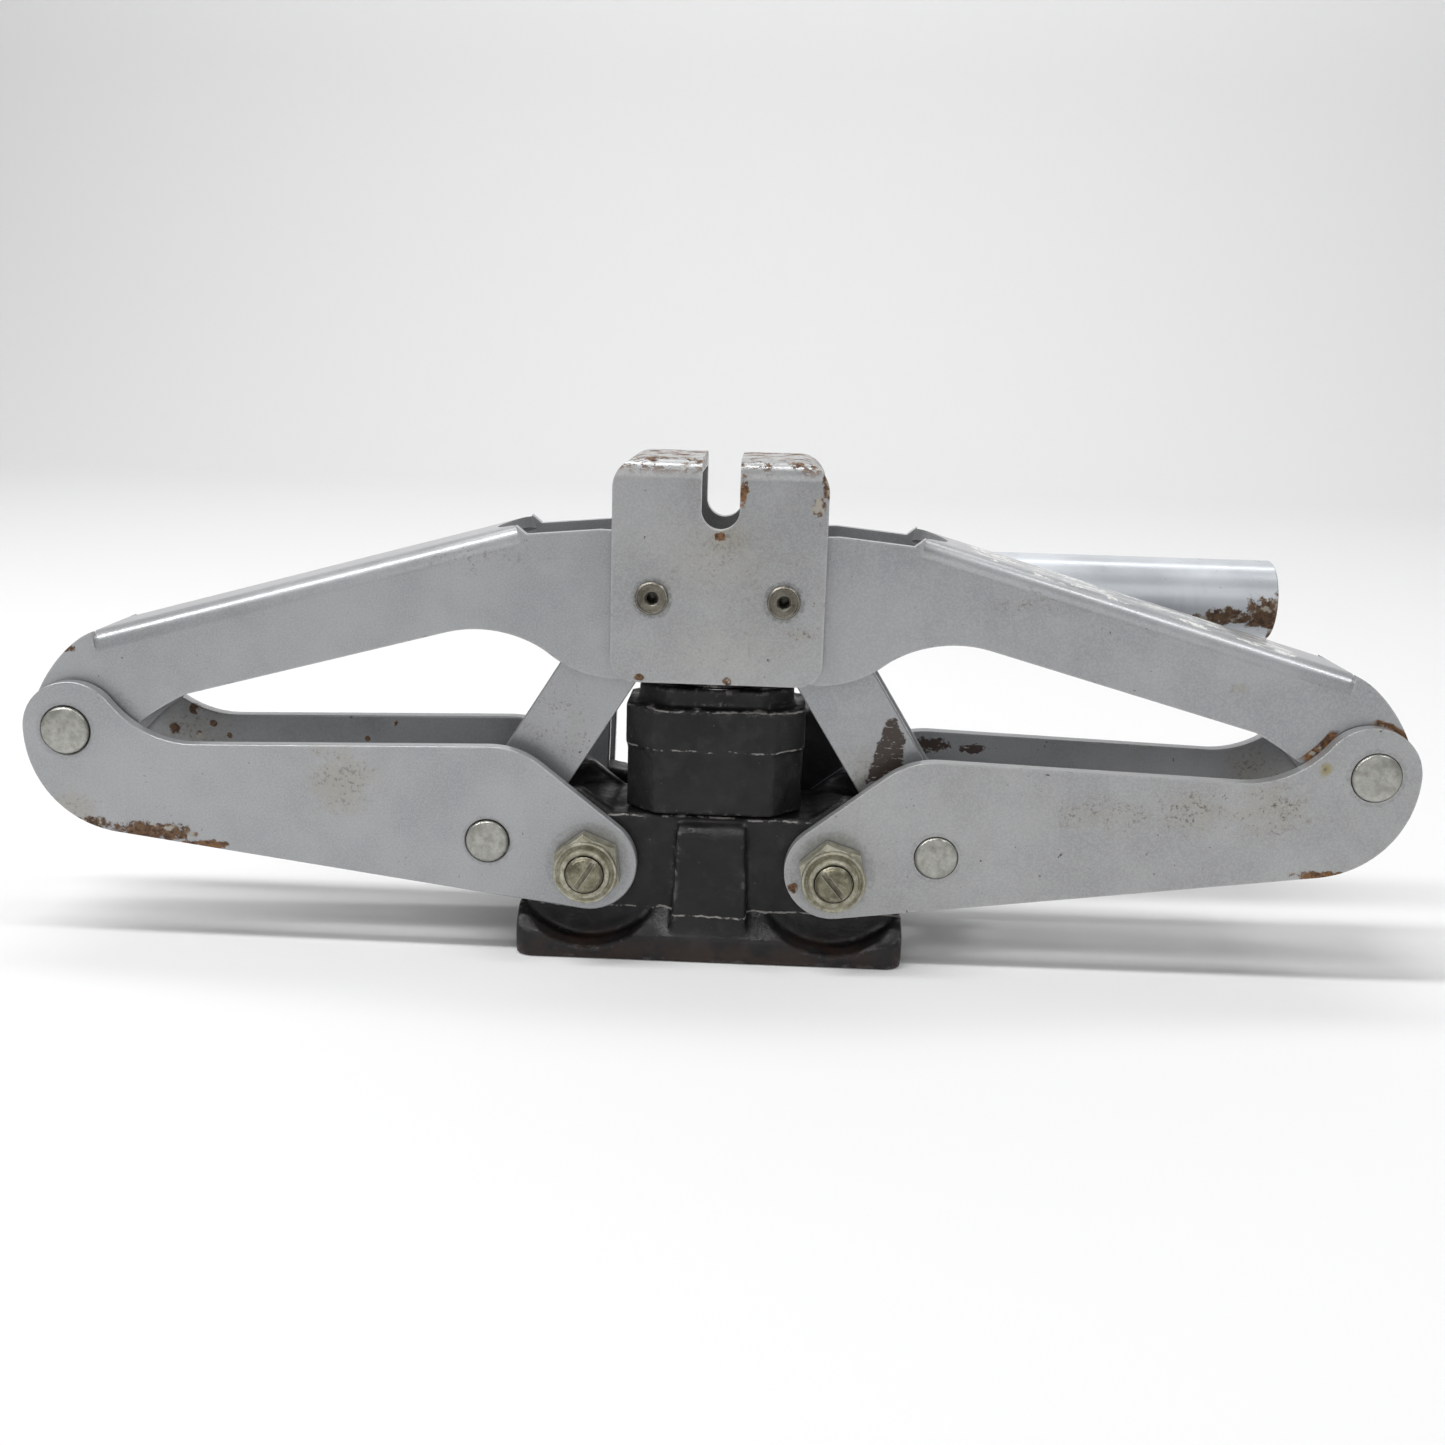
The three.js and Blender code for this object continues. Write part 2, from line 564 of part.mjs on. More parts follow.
function saddleSlot() {
  const radius = SLOT_WIDTH / 2;
  const shape = new THREE.Shape();
  shape.moveTo(-radius, SADDLE_TOP + 5);
  shape.lineTo(-radius, SLOT_FLOOR + radius);
  shape.absarc(0, SLOT_FLOOR + radius, radius, Math.PI, Math.PI * 2, false);
  shape.lineTo(radius, SADDLE_TOP + 5);
  shape.closePath();
  return plate(shape, -SADDLE_OUT - 5, SADDLE_OUT + 5);
}

function saddle() {
  const geometry = runAlongX(saddleSection(), SADDLE_HALF * 2);
  geometry.translate(-SADDLE_HALF, 0, 0);
  const face = roundedRectangle(-SADDLE_HALF, SADDLE_HALF, SADDLE_BOTTOM, SADDLE_TOP, SADDLE_CORNER_R,
    SADDLE_CROWN_R);
  const left = new THREE.Vector2(-SADDLE_PIVOT_X, SADDLE_PIVOT_Z);
  const reach = SADDLE_OUT + 5;
  return cut(
    toSolid(geometry).intersect(plate(face, -reach, reach)),
    saddleSlot(),
    barY(SADDLE_PIVOT, RIVET_R + PIN_FIT, -reach, reach, 16),
    barY(left, RIVET_R + PIN_FIT, -reach, reach, 16),
  );
}

// A hollow rivet, from its head outside the saddle to its flare inside the arm.
function saddleRivet(side) {
  const outside = SADDLE_OUT + RIVET_END_FIT;
  const inside = CHANNEL_IN - RIVET_END_FIT;
  const tip = inside - RIVET_FLARE;
  const crown = outside + RIVET_HEAD;
  const flareRadius = RIVET_R + OPEN_SADDLE_FIT + 0.6;
  const profile = [
    [RIVET_BORE_R, tip], [flareRadius, tip], [flareRadius, inside], [RIVET_R, inside],
    [RIVET_R, outside], [RIVET_HEAD_R, outside], [RIVET_HEAD_R - 0.5, crown], [RIVET_BORE_R, crown],
    [RIVET_BORE_R, tip],
  ];
  const geometry = turned(profile, 'y', 16);
  if (side < 0) geometry.rotateZ(Math.PI);
  geometry.translate(SADDLE_PIVOT_X, 0, SADDLE_PIVOT_Z);
  return toSolid(geometry);
}

function addSaddle() {
  add('saddle', saddle(), SILVER);
  addPair('saddle_rivet_front', saddleRivet(-1), ZINC);
  addPair('saddle_rivet_rear', saddleRivet(1), ZINC);
}

// ---------------------------------------------------------------- ram, crosshead and links
function ram() {
  const piston = BORE_R - RAM_FIT;
  const foot = BORE_FLOOR + 1;
  const groove = piston - 2;
  const top = CROSS_PIVOT_Z - LINK_HALF + 0.3;
  const profile = [
    [0, foot], [piston, foot], [piston, foot + 3.5], [groove, foot + 3.5], [groove, foot + 8.5],
    [piston, foot + 8.5], [piston, foot + 12], [RAM_R, foot + 12], [RAM_R, top], [0, top],
  ];
  return turnedSolid(profile, 'z', {});
}

function pistonSeal() {
  const foot = BORE_FLOOR + 1;
  const outer = BORE_R - RAM_FIT + 0.1;
  const inner = outer - 1.9;
  return turnedSolid(ringProfile(inner, outer, foot + 3.8, foot + 8.2), 'z', {});
}

function crosshead() {
  const radius = LINK_HALF - 1;
  const bar = plate(
    roundedRectangle(-CROSS_PIVOT_X - radius, CROSS_PIVOT_X + radius,
      CROSS_PIVOT_Z - radius, CROSS_PIVOT_Z + radius, radius - 0.5),
    -CROSSHEAD_HALF, CROSSHEAD_HALF,
  );
  const left = new THREE.Vector2(-CROSS_PIVOT_X, CROSS_PIVOT_Z);
  return cut(
    bar,
    barY(CROSS_PIVOT, CROSS_PIN_R + PIN_FIT, -LINK_OUT, LINK_OUT),
    barY(left, CROSS_PIN_R + PIN_FIT, -LINK_OUT, LINK_OUT),
  );
}

function link(yFrom, yTo) {
  return cut(
    plate(linkOutline(CROSS_PIVOT, LINK_PIVOT, LINK_HALF), yFrom, yTo),
    barY(CROSS_PIVOT, CROSS_PIN_R + PIN_FIT, yFrom - 1, yTo + 1),
    barY(LINK_PIVOT, LINK_PIN_R + OPEN_LINK_FIT, yFrom - 1, yTo + 1),
  );
}

function addLinks() {
  add('ram', ram(), STEEL);
  add('piston_seal', pistonSeal(), RUBBER);
  add('crosshead', crosshead(), BLACK);
  addPair('crosshead_pin', pin(CROSS_PIVOT, CROSS_PIN_R, LINK_OUT + 0.5), ZINC);
  addPair('link_front', link(-LINK_OUT, -LINK_IN), SILVER);
  addPair('link_rear', link(LINK_IN, LINK_OUT), SILVER);
}

// ---------------------------------------------------------------- base casting
// A ridge along X with a level top over the block and a slope down to each long edge.
function flangeSlopes() {
  const shape = new THREE.Shape();
  shape.moveTo(-FLANGE_FRONT, 0);
  shape.lineTo(FLANGE_FRONT, 0);
  shape.lineTo(FLANGE_FRONT, FLANGE_LIP);
  shape.lineTo(BLOCK_Y, FLANGE_SHOULDER);
  shape.lineTo(-BLOCK_Y, FLANGE_SHOULDER);
  shape.lineTo(-FLANGE_FRONT, FLANGE_LIP);
  shape.closePath();
  const geometry = runAlongX(shape, FLANGE_HALF * 2);
  geometry.translate(-FLANGE_HALF, 0, 0);
  return toSolid(geometry);
}

function flange() {
  const rearLeft = -FLANGE_REAR_HALF - FLANGE_REAR_LEFT;
  const rear = PUMP_Y + HOUSING_HALF_Y + FLANGE_REAR_EDGE;
  const plan = roundedRectangle(-FLANGE_HALF, FLANGE_HALF, -FLANGE_FRONT, FLANGE_FRONT, FLANGE_CORNER_R);
  const front = slab(plan, 0, FLANGE_SHOULDER).intersect(flangeSlopes());
  const back = slab(roundedRectangle(rearLeft, FLANGE_REAR_HALF, 0, rear, 8), 0, FLANGE_HEIGHT);
  const scallops = [BASE_PIVOT, BASE_PIVOT_LEFT].flatMap((pivot) => [
    barY(pivot, SCALLOP_R, -FLANGE_FRONT * 2, -BLOCK_Y, 48),
    barY(pivot, SCALLOP_R, BLOCK_Y, BOLT_FACE + BOLT_HEAD + 1, 48),
  ]);
  return cut(joined(front, back), ...scallops);
}

// A lug round a base pivot, with its foot on the flange.
function pivotLug() {
  const shape = new THREE.Shape();
  shape.moveTo(BASE_PIVOT_X + LUG_R, 1);
  shape.lineTo(BASE_PIVOT_X + LUG_R, BASE_PIVOT_Z);
  arcTo(shape, BASE_PIVOT, LUG_R, 0, 180, false);
  shape.lineTo(BASE_PIVOT_X - LUG_R, 1);
  shape.closePath();
  return plate(shape, -BLOCK_Y, BLOCK_Y);
}

// A thin ear beside each arm plate, with its inner edge slanted like the arm's.
function ear(yFrom, yTo) {
  const shape = new THREE.Shape();
  shape.moveTo(BASE_PIVOT_X - 10, 1);
  shape.lineTo(BASE_PIVOT_X + 10, 1);
  arcTo(shape, BASE_PIVOT, EAR_R, -55, 82, false);
  shape.lineTo(BASE_PIVOT_X - 7, BASE_PIVOT_Z + 14.2);
  shape.closePath();
  return plate(shape, yFrom, yTo);
}

function frontRib() {
  const shape = new THREE.Shape();
  const foot = FLANGE_FRONT - 0.6;
  const y = BLOCK_Y + RIB_OUT - 1.4;
  shape.moveTo(foot, 1);
  shape.lineTo(foot, 4);
  shape.lineTo(y, 14);
  shape.lineTo(y - 0.6, BLOCK_TOP - 4.5);
  shape.lineTo(y - 3, BLOCK_TOP - 2.2);
  shape.lineTo(BLOCK_Y - 4, BLOCK_TOP - 1);
  shape.lineTo(BLOCK_Y - 4, 1);
  shape.closePath();
  const geometry = runAlongX(shape, RIB_FOOT * 2);
  geometry.translate(-RIB_FOOT, 0, 0);
  const taper = new THREE.Shape();
  taper.moveTo(-RIB_FOOT, 0);
  taper.lineTo(RIB_FOOT, 0);
  taper.lineTo(RIB_HALF, BLOCK_TOP);
  taper.lineTo(-RIB_HALF, BLOCK_TOP);
  taper.closePath();
  return toSolid(geometry).intersect(plate(taper, -FLANGE_FRONT * 2, 0));
}

function pumpHousing() {
  const yFrom = PUMP_Y - HOUSING_HALF_Y;
  const yTo = PUMP_Y + HOUSING_HALF_Y;
  const neckHalf = BASE_PIVOT_X - ARM_END_R - 3.6;
  const body = slab(roundedRectangle(HOUSING_LEFT, HOUSING_RIGHT, yFrom, yTo, 6), 1, HOUSING_TOP, 5);
  const neck = box(-neckHalf, neckHalf, 0, yFrom + 6, 1, BLOCK_TOP);
  const lugHalf = FULCRUM_IN - LUG_GAP;
  const lug = new THREE.Shape();
  lug.moveTo(HOUSING_LEFT + 6, 1);
  lug.lineTo(HOUSING_LEFT + 6, FULCRUM_Z + 4);
  lug.lineTo(FULCRUM_X, FULCRUM_Z + 8);
  lug.absarc(FULCRUM_X, FULCRUM_Z, 8, Math.PI / 2, Math.PI, false);
  lug.lineTo(FULCRUM_X - 8, 1);
  lug.closePath();
  return joined(body, neck, plate(lug, PUMP_Y - lugHalf, PUMP_Y + lugHalf));
}

function baseCasting() {
  const block = slab(roundedRectangle(-BLOCK_HALF, BLOCK_HALF, -BLOCK_Y, BLOCK_Y, 2.5), 1, BLOCK_TOP, 4);
  const lug = pivotLug();
  const ears = joined(ear(-BLOCK_Y, -BLOCK_Y + EAR_PLATE), ear(BLOCK_Y - EAR_PLATE, BLOCK_Y));
  const body = joined(flange(), block, lug, mirrored(lug), ears, mirrored(ears), frontRib(), pumpHousing());
  const boltFit = BOLT_R + PIN_FIT;
  return cut(
    body,
    barY(BASE_PIVOT, boltFit, -BLOCK_Y - 1, BLOCK_Y + 1),
    barY(BASE_PIVOT_LEFT, boltFit, -BLOCK_Y - 1, BLOCK_Y + 1),
    turnedSolid(rodProfile(CYLINDER_R + STATIC_FIT, BORE_FLOOR - BORE_FOOT - STATIC_FIT, BLOCK_TOP + 1), 'z', {}),
    turnedSolid(rodProfile(BARREL_R - 1 + STATIC_FIT, BARREL_FOOT - 2, HOUSING_TOP + 1), 'z', { x: PLUNGER_X, y: PUMP_Y }),
    barY(FULCRUM_FOOT, LEVER_PIN_R + STATIC_FIT, PUMP_Y - FULCRUM_IN, PUMP_Y + FULCRUM_IN, 24),
    turnedSolid(rodProfile(VALVE_R - VALVE_STEM + STATIC_FIT, HOUSING_RIGHT - 16, HOUSING_RIGHT + 1), 'x',
      { y: PUMP_Y, z: VALVE_Z }, 24),
  );
}

// ---------------------------------------------------------------- reservoir and cylinder
function tankLayer(grow, zFrom, zTo) {
  const x = TANK_HALF_X + grow;
  const y = TANK_HALF_Y + grow;
  const flatX = x - TANK_FACET_X;
  const flatY = y - TANK_FACET_Y;
  const corners = [[x, -flatY], [x, flatY], [flatX, y], [-flatX, y], [-x, flatY], [-x, -flatY], [-flatX, -y],
    [flatX, -y]];
  const shape = new THREE.Shape(corners.map(([cornerX, cornerY]) => new THREE.Vector2(cornerX, cornerY)));
  return slab(shape, zFrom, zTo);
}

function reservoir() {
  const foot = BLOCK_TOP + STATIC_FIT;
  const body = joined(
    tankLayer(-TANK_WAIST, foot, TANK_STEP + 0.1),
    tankLayer(0, TANK_STEP, TANK_SHOULDER),
    tankLayer(-TANK_CAP, TANK_SHOULDER - 0.1, TANK_TOP),
  );
  const plugHole = turnedSolid(rodProfile(PLUG_R + STATIC_FIT, TANK_HALF_Y - 4, TANK_HALF_Y + 2), 'y',
    { x: PLUG_X, z: TANK_STEP + PLUG_UP }, 24);
  return cut(body, turnedSolid(rodProfile(CYLINDER_R + STATIC_FIT, foot - 1, TANK_TOP + 1), 'z', {}), plugHole);
}

// The steel tube that the piston runs in, closed at the foot and open at the top.
function cylinderTube() {
  const foot = BORE_FLOOR - BORE_FOOT;
  const profile = [
    [0, foot], [CYLINDER_R, foot], [CYLINDER_R, TANK_TOP], [BORE_R, TANK_TOP],
    [BORE_R, BORE_FLOOR], [0, BORE_FLOOR],
  ];
  return turnedSolid(profile, 'z', {});
}

function glandNut() {
  const foot = TANK_TOP + STATIC_FIT;
  const top = foot + GLAND_HEIGHT;
  const neck = BORE_R - STATIC_FIT;
  const bore = RAM_R + RAM_FIT;
  const groove = bore + WIPER_HALF;
  const profile = [
    [bore, foot - GLAND_THREAD], [neck, foot - GLAND_THREAD], [neck, foot], [GLAND_R, foot],
    [GLAND_R, top - 1], [GLAND_R - 1, top], [groove, top], [groove, top - 3], [bore, top - 3],
    [bore, foot - GLAND_THREAD],
  ];
  return turnedSolid(profile, 'z', {});
}

function wiperSeal() {
  const top = TANK_TOP + STATIC_FIT + GLAND_HEIGHT;
  return turnedSolid(ringProfile(RAM_R + 0.2, RAM_R + WIPER_HALF + 0.1, top - 2.7, top - 0.3), 'z', {});
}

function fillerPlug() {
  const face = TANK_HALF_Y + 0.3;
  const profile = [
    [0, face - 4], [PLUG_R, face - 4], [PLUG_R, face], [PLUG_R + 2, face], [PLUG_R + 2, face + 1.4],
    [PLUG_R + 1, face + 2.4], [0, face + 2.4],
  ];
  return turnedSolid(profile, 'y', { x: PLUG_X, z: TANK_STEP + PLUG_UP }, 24);
}

// ---------------------------------------------------------------- pivot bolts and nuts
function pivotBolt() {
  const end = BOLT_FACE + NUT_HEX + NUT_COLLAR + BOLT_END;
  const shank = turnedSolid([
    [0, -end], [BOLT_R - 1, -end], [BOLT_R, -end + 1], [BOLT_R, BOLT_FACE + 1], [0, BOLT_FACE + 1],
  ], 'y', { x: BASE_PIVOT_X, z: BASE_PIVOT_Z }, 30);
  const head = hexY(BASE_PIVOT, HEX_R, BOLT_FACE, BOLT_FACE + BOLT_HEAD);
  const slot = box(BASE_PIVOT_X - HEX_R, BASE_PIVOT_X + HEX_R, -end - 1, -end + SLOT_DEPTH,
    BASE_PIVOT_Z - SLOT_HALF, BASE_PIVOT_Z + SLOT_HALF);
  return cut(joined(shank, head), slot);
}

function pivotNut() {
  const from = -BOLT_FACE;
  return cut(
    joined(
      hexY(BASE_PIVOT, HEX_R, from - NUT_HEX, from),
      barY(BASE_PIVOT, BOLT_R + COLLAR_STEP, from - NUT_HEX - NUT_COLLAR, from - NUT_HEX + 0.5, 30),
    ),
    barY(BASE_PIVOT, BOLT_R + THREAD_FIT, from - NUT_HEX * 3, from + 1, 30),
  );
}

function addBase() {
  add('base_casting', baseCasting(), BLACK);
  add('reservoir_shell', reservoir(), BLACK);
  add('cylinder_tube', cylinderTube(), STEEL);
  add('gland_nut', glandNut(), BLACK);
  add('wiper_seal', wiperSeal(), RUBBER);
  add('filler_plug', fillerPlug(), RUBBER);
  addPair('pivot_bolt', pivotBolt(), ZINC);
  addPair('pivot_nut', pivotNut(), ZINC);
}

// ---------------------------------------------------------------- pump
function pumpBarrel() {
  const bore = PLUNGER_R + 0.3;
  const seat = HOUSING_TOP + STATIC_FIT;
  const profile = [
    [bore, BARREL_FOOT], [BARREL_R - 1, BARREL_FOOT], [BARREL_R - 1, seat], [BARREL_R + 1.5, seat],
    [BARREL_R + 1.5, seat + BARREL_NUT - 1], [BARREL_R - 0.5, seat + BARREL_NUT],
    [BARREL_R - 0.5, BARREL_TOP], [bore + 1.2, BARREL_TOP], [bore + 1.2, BARREL_TOP - 3],
    [bore, BARREL_TOP - 3], [bore, BARREL_FOOT],
  ];
  return turnedSolid(profile, 'z', { x: PLUNGER_X, y: PUMP_Y });
}

function pumpSeal() {
  const bore = PLUNGER_R + 0.2;
  return turnedSolid(ringProfile(bore, bore + 1.1, BARREL_TOP - 2.7, BARREL_TOP - 0.2), 'z',
    { x: PLUNGER_X, y: PUMP_Y });
}

// The plunger and the flat eye on its top.
function pumpPlunger() {
  const rod = turnedSolid(rodProfile(PLUNGER_R, BARREL_FOOT + 2, PLUNGER_PIN_Z - 4), 'z', { x: PLUNGER_X, y: PUMP_Y });
  const eye = linkOutline(PLUNGER_PIN, new THREE.Vector2(PLUNGER_X, PLUNGER_PIN_Z - 5), EYE_R);
  return cut(
    joined(rod, plate(eye, PUMP_Y - EYE_HALF, PUMP_Y + EYE_HALF)),
    barY(PLUNGER_PIN, LEVER_PIN_R + PIN_FIT, PUMP_Y - LEVER_OUT, PUMP_Y + LEVER_OUT, 24),
  );
}

function leverPin(pivot, half) {
  const head = LEVER_PIN_R + PIN_HEAD;
  const profile = [
    [0, -half], [head, -half], [head, -half + PIN_HEAD], [LEVER_PIN_R, -half + PIN_HEAD],
    [LEVER_PIN_R, half - 0.6], [LEVER_PIN_R - 0.6, half], [0, half],
  ];
  return turnedSolid(profile, 'y', { x: pivot.x, y: PUMP_Y, z: pivot.y }, 24);
}

// One side plate of the lever, from the fulcrum pin past the plunger pin to the socket tube.
function leverPlateOutline() {
  const shape = new THREE.Shape();
  shape.moveTo(SOCKET_START + 26, SOCKET_Z - 8);
  shape.lineTo(SOCKET_START + 26, SOCKET_Z + 8);
  shape.lineTo(SOCKET_START - 4, SOCKET_Z + 12);
  shape.lineTo(FULCRUM_TOP.x + 2, FULCRUM_TOP.y + 9);
  arcTo(shape, FULCRUM_TOP, 9, 80, 255, false);
  shape.lineTo(PLUNGER_PIN.x, PLUNGER_PIN.y - 9.5);
  shape.lineTo(SOCKET_START - 8, SOCKET_Z - 13);
  shape.closePath();
  return shape;
}

function leverPlate(yFrom, yTo) {
  return cut(
    plate(leverPlateOutline(), yFrom, yTo),
    barY(PLUNGER_PIN, LEVER_PIN_R + PIN_FIT, yFrom - 1, yTo + 1, 24),
    barY(FULCRUM_TOP, LEVER_PIN_R + PIN_FIT, yFrom - 1, yTo + 1, 24),
  );
}

// The bridge joins both side plates over the plunger, so that they stay one pressed piece.
function leverBracket() {
  const front = leverPlate(PUMP_Y - LEVER_OUT, PUMP_Y - LEVER_IN);
  const rear = leverPlate(PUMP_Y + LEVER_IN, PUMP_Y + LEVER_OUT);
  const bridge = box(PLUNGER_X + 20, SOCKET_START - STATIC_FIT, PUMP_Y - LEVER_OUT, PUMP_Y + LEVER_OUT,
    SOCKET_Z - 9, SOCKET_Z + 9);
  return joined(front, rear, bridge);
}

function handleSocket() {
  const profile = ringProfile(SOCKET_R - SOCKET_WALL, SOCKET_R, SOCKET_START, SOCKET_END);
  return turnedSolid(profile, 'x', { y: PUMP_Y, z: SOCKET_Z });
}

function fulcrumLink(yFrom, yTo) {
  return cut(
    plate(linkOutline(FULCRUM_FOOT, FULCRUM_TOP, FULCRUM_HALF), yFrom, yTo),
    barY(FULCRUM_FOOT, LEVER_PIN_R + PIN_FIT, yFrom - 1, yTo + 1, 24),
    barY(FULCRUM_TOP, LEVER_PIN_R + OPEN_LEVER_FIT, yFrom - 1, yTo + 1, 24),
  );
}

function releaseScrew() {
  const face = HOUSING_RIGHT + 0.4;
  const end = face + VALVE_HEAD;
  const stemRadius = VALVE_R - VALVE_STEM;
  const stem = turnedSolid([
    [0, face - 13], [stemRadius, face - 10], [stemRadius, face], [VALVE_R, face],
    [VALVE_R, end - 1], [VALVE_R - 1, end], [0, end],
  ], 'x', { y: PUMP_Y, z: VALVE_Z }, 24);
  const slot = box(end - 4, end + 1, PUMP_Y - SLOT_HALF, PUMP_Y + SLOT_HALF, VALVE_Z - VALVE_R * 2,
    VALVE_Z + VALVE_R * 2);
  return cut(stem, slot);
}

function addPump() {
  add('pump_barrel', pumpBarrel(), ZINC);
  add('pump_seal', pumpSeal(), RUBBER);
  add('pump_plunger', pumpPlunger(), STEEL);
  add('plunger_pin', leverPin(PLUNGER_PIN, LEVER_OUT + PIN_END), ZINC);
  add('lever_bracket', leverBracket(), SILVER);
  add('handle_socket', handleSocket(), SILVER);
  add('fulcrum_link_front', fulcrumLink(PUMP_Y - FULCRUM_OUT, PUMP_Y - FULCRUM_IN), SILVER);
  add('fulcrum_link_rear', fulcrumLink(PUMP_Y + FULCRUM_IN, PUMP_Y + FULCRUM_OUT), SILVER);
  add('fulcrum_pin_upper', leverPin(FULCRUM_TOP, LEVER_OUT + PIN_END), ZINC);
  add('fulcrum_pin_lower', leverPin(FULCRUM_FOOT, FULCRUM_OUT + PIN_END), ZINC);
  add('release_screw', releaseScrew(), ZINC);
}

addBase();
addLinks();
addLowerArms();
addUpperArms();
addSaddle();
addPump();

export default jack;
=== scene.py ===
"""Looks of a hydraulic scissor car jack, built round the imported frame."""
import json
import math

import bmesh
import bpy
from mathutils import Matrix, Vector


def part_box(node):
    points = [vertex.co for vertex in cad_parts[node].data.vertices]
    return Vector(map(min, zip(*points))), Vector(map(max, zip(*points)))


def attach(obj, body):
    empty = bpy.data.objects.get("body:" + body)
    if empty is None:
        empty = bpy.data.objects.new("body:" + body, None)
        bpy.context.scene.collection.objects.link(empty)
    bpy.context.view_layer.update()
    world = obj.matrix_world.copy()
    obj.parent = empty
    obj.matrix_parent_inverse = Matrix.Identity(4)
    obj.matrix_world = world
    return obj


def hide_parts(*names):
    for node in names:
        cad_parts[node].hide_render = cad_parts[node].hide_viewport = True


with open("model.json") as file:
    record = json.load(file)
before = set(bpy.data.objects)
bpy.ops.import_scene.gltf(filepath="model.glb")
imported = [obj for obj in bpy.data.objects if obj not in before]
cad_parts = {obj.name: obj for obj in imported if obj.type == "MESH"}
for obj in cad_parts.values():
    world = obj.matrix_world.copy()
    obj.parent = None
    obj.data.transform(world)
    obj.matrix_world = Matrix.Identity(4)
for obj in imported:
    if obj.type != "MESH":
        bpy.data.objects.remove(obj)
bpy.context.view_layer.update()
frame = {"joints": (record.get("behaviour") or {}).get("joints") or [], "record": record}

MM = 0.001

# ---- places from the frame
JOINTS = {joint["name"]: joint for joint in frame["joints"]}
BODY_OF = {node: body for body, nodes in frame["record"]["behaviour"]["bodies"].items() for node in nodes}


def xz(x, z):
    return Vector((x, z))


def pivot(joint):
    """A hinge's place in X and Z, in millimetres."""
    x, _, z = JOINTS[joint]["pos_m"]
    return xz(x / MM, z / MM)


def span(node, axis):
    """A node's lowest and highest coordinate on an axis, in millimetres."""
    low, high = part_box(node)
    return low[axis] / MM, high[axis] / MM


def middle(node, axis):
    return sum(span(node, axis)) / 2


BASE = pivot("lower_arm_right_hinge")
OUTER = pivot("upper_arm_right_hinge")
SADDLE = pivot("saddle_hinge")
SADDLE.x = abs(SADDLE.x)
CROSS = pivot("links_right_hinge")
PLUNGER = pivot("pump_handle")
FULCRUM = pivot("fulcrum_hinge")
LINK = Vector((middle("link_pin_right", 0), middle("link_pin_right", 2)))
LEVER_TOP = Vector((middle("fulcrum_pin_upper", 0), middle("fulcrum_pin_upper", 2)))
PUMP_Y = JOINTS["pump_handle"]["pos_m"][1] / MM
ARM_IN, ARM_OUT = span("lower_arm_rear_right", 1)
CHANNEL_OUT = span("upper_arm_right", 1)[1]
CHANNEL_WALL = 3.1
CHANNEL_IN = CHANNEL_OUT - CHANNEL_WALL
LINK_IN, LINK_OUT = span("link_rear_right", 1)
SADDLE_BOTTOM, SADDLE_TOP = span("saddle", 2)
SADDLE_HALF = span("saddle", 0)[1]
SADDLE_WALL = ARM_OUT - ARM_IN

# Sizes that the frame doesn't give, in millimetres. Bores at the open pivots are wider, as in the CAD.
BASE_BORE, OUTER_BORE, LINK_BORE, CROSS_BORE = 6.1, 7.2, 6.4, 5.3
LINK_OPEN_BORE = 8.5
SADDLE_BORE, SADDLE_OPEN_BORE = 3.5, 5.0
FULCRUM_BORE, FULCRUM_OPEN_BORE = 4.3, 4.8
CYLINDER_BORE = 14.3
OUTER_PIN, LINK_PIN, CROSS_PIN = 7, 6.2, 5  # radii
PIN_PROUD = 1.4  # how far a pin stands out of the arms
LINK_HALF_WIDTH, FULCRUM_LINK_HALF_WIDTH = 10.8, 7.4
HEX_CORNER = 10.4  # from the middle of a nut or a bolt's head
BEND = 6  # outer radius of the pressed channels
THROUGH = 40  # reaches past the saddle, for cutters

# ---- outlines, in millimetres
ARC_STEP = 5.0


def arc(centre, radius, start, end, step=ARC_STEP):
    """Points on a circle from one angle to another, in degrees."""
    count = max(2, int(abs(end - start) / step) + 1)
    angles = [math.radians(start + (end - start) * i / count) for i in range(count + 1)]
    return [Vector((centre[0] + radius * math.cos(a), centre[1] + radius * math.sin(a))) for a in angles]


def bezier(a, b, c, d, count=14):
    """Points on a cubic curve, without its first point."""
    points = []
    for i in range(1, count + 1):
        t = i / count
        s = 1 - t
        near = Vector(a) * s**3 + Vector(b) * 3 * s * s * t
        points.append(near + Vector(c) * 3 * s * t * t + Vector(d) * t**3)
    return points


def rounded_box(x0, x1, z0, z1, radius, far_radius=None):
    far = radius if far_radius is None else far_radius
    return (
        arc((x1 - radius, z0 + radius), radius, -90, 0)
        + arc((x1 - far, z1 - far), far, 0, 90)
        + arc((x0 + far, z1 - far), far, 90, 180)
        + arc((x0 + radius, z0 + radius), radius, 180, 270)
    )


def capsule(a, b, radius):
    along = math.degrees(math.atan2(b[1] - a[1], b[0] - a[0]))
    return arc(a, radius, along + 90, along + 270) + arc(b, radius, along - 90, along + 90)


def tidy(points, gap=0.02):
    """Drops points that repeat the one before."""
    kept = []
    for point in points:
        if not kept or (point - kept[-1]).length > gap:
            kept.append(point)
    if (kept[0] - kept[-1]).length <= gap:
        kept.pop()
    return kept


def on_side(points, side):
    """An outline of the right half as it is, or mirrored for the left."""
    return points if side > 0 else [xz(-p[0], p[1]) for p in reversed(points)]


def beside(point, side):
    """A place of the right half as it is, or mirrored for the left."""
    return xz(side * point.x, point.y)


def at_y(point, y=0):
    """A place in X and Z, at a place in Y."""
    return point[0], y, point[1]


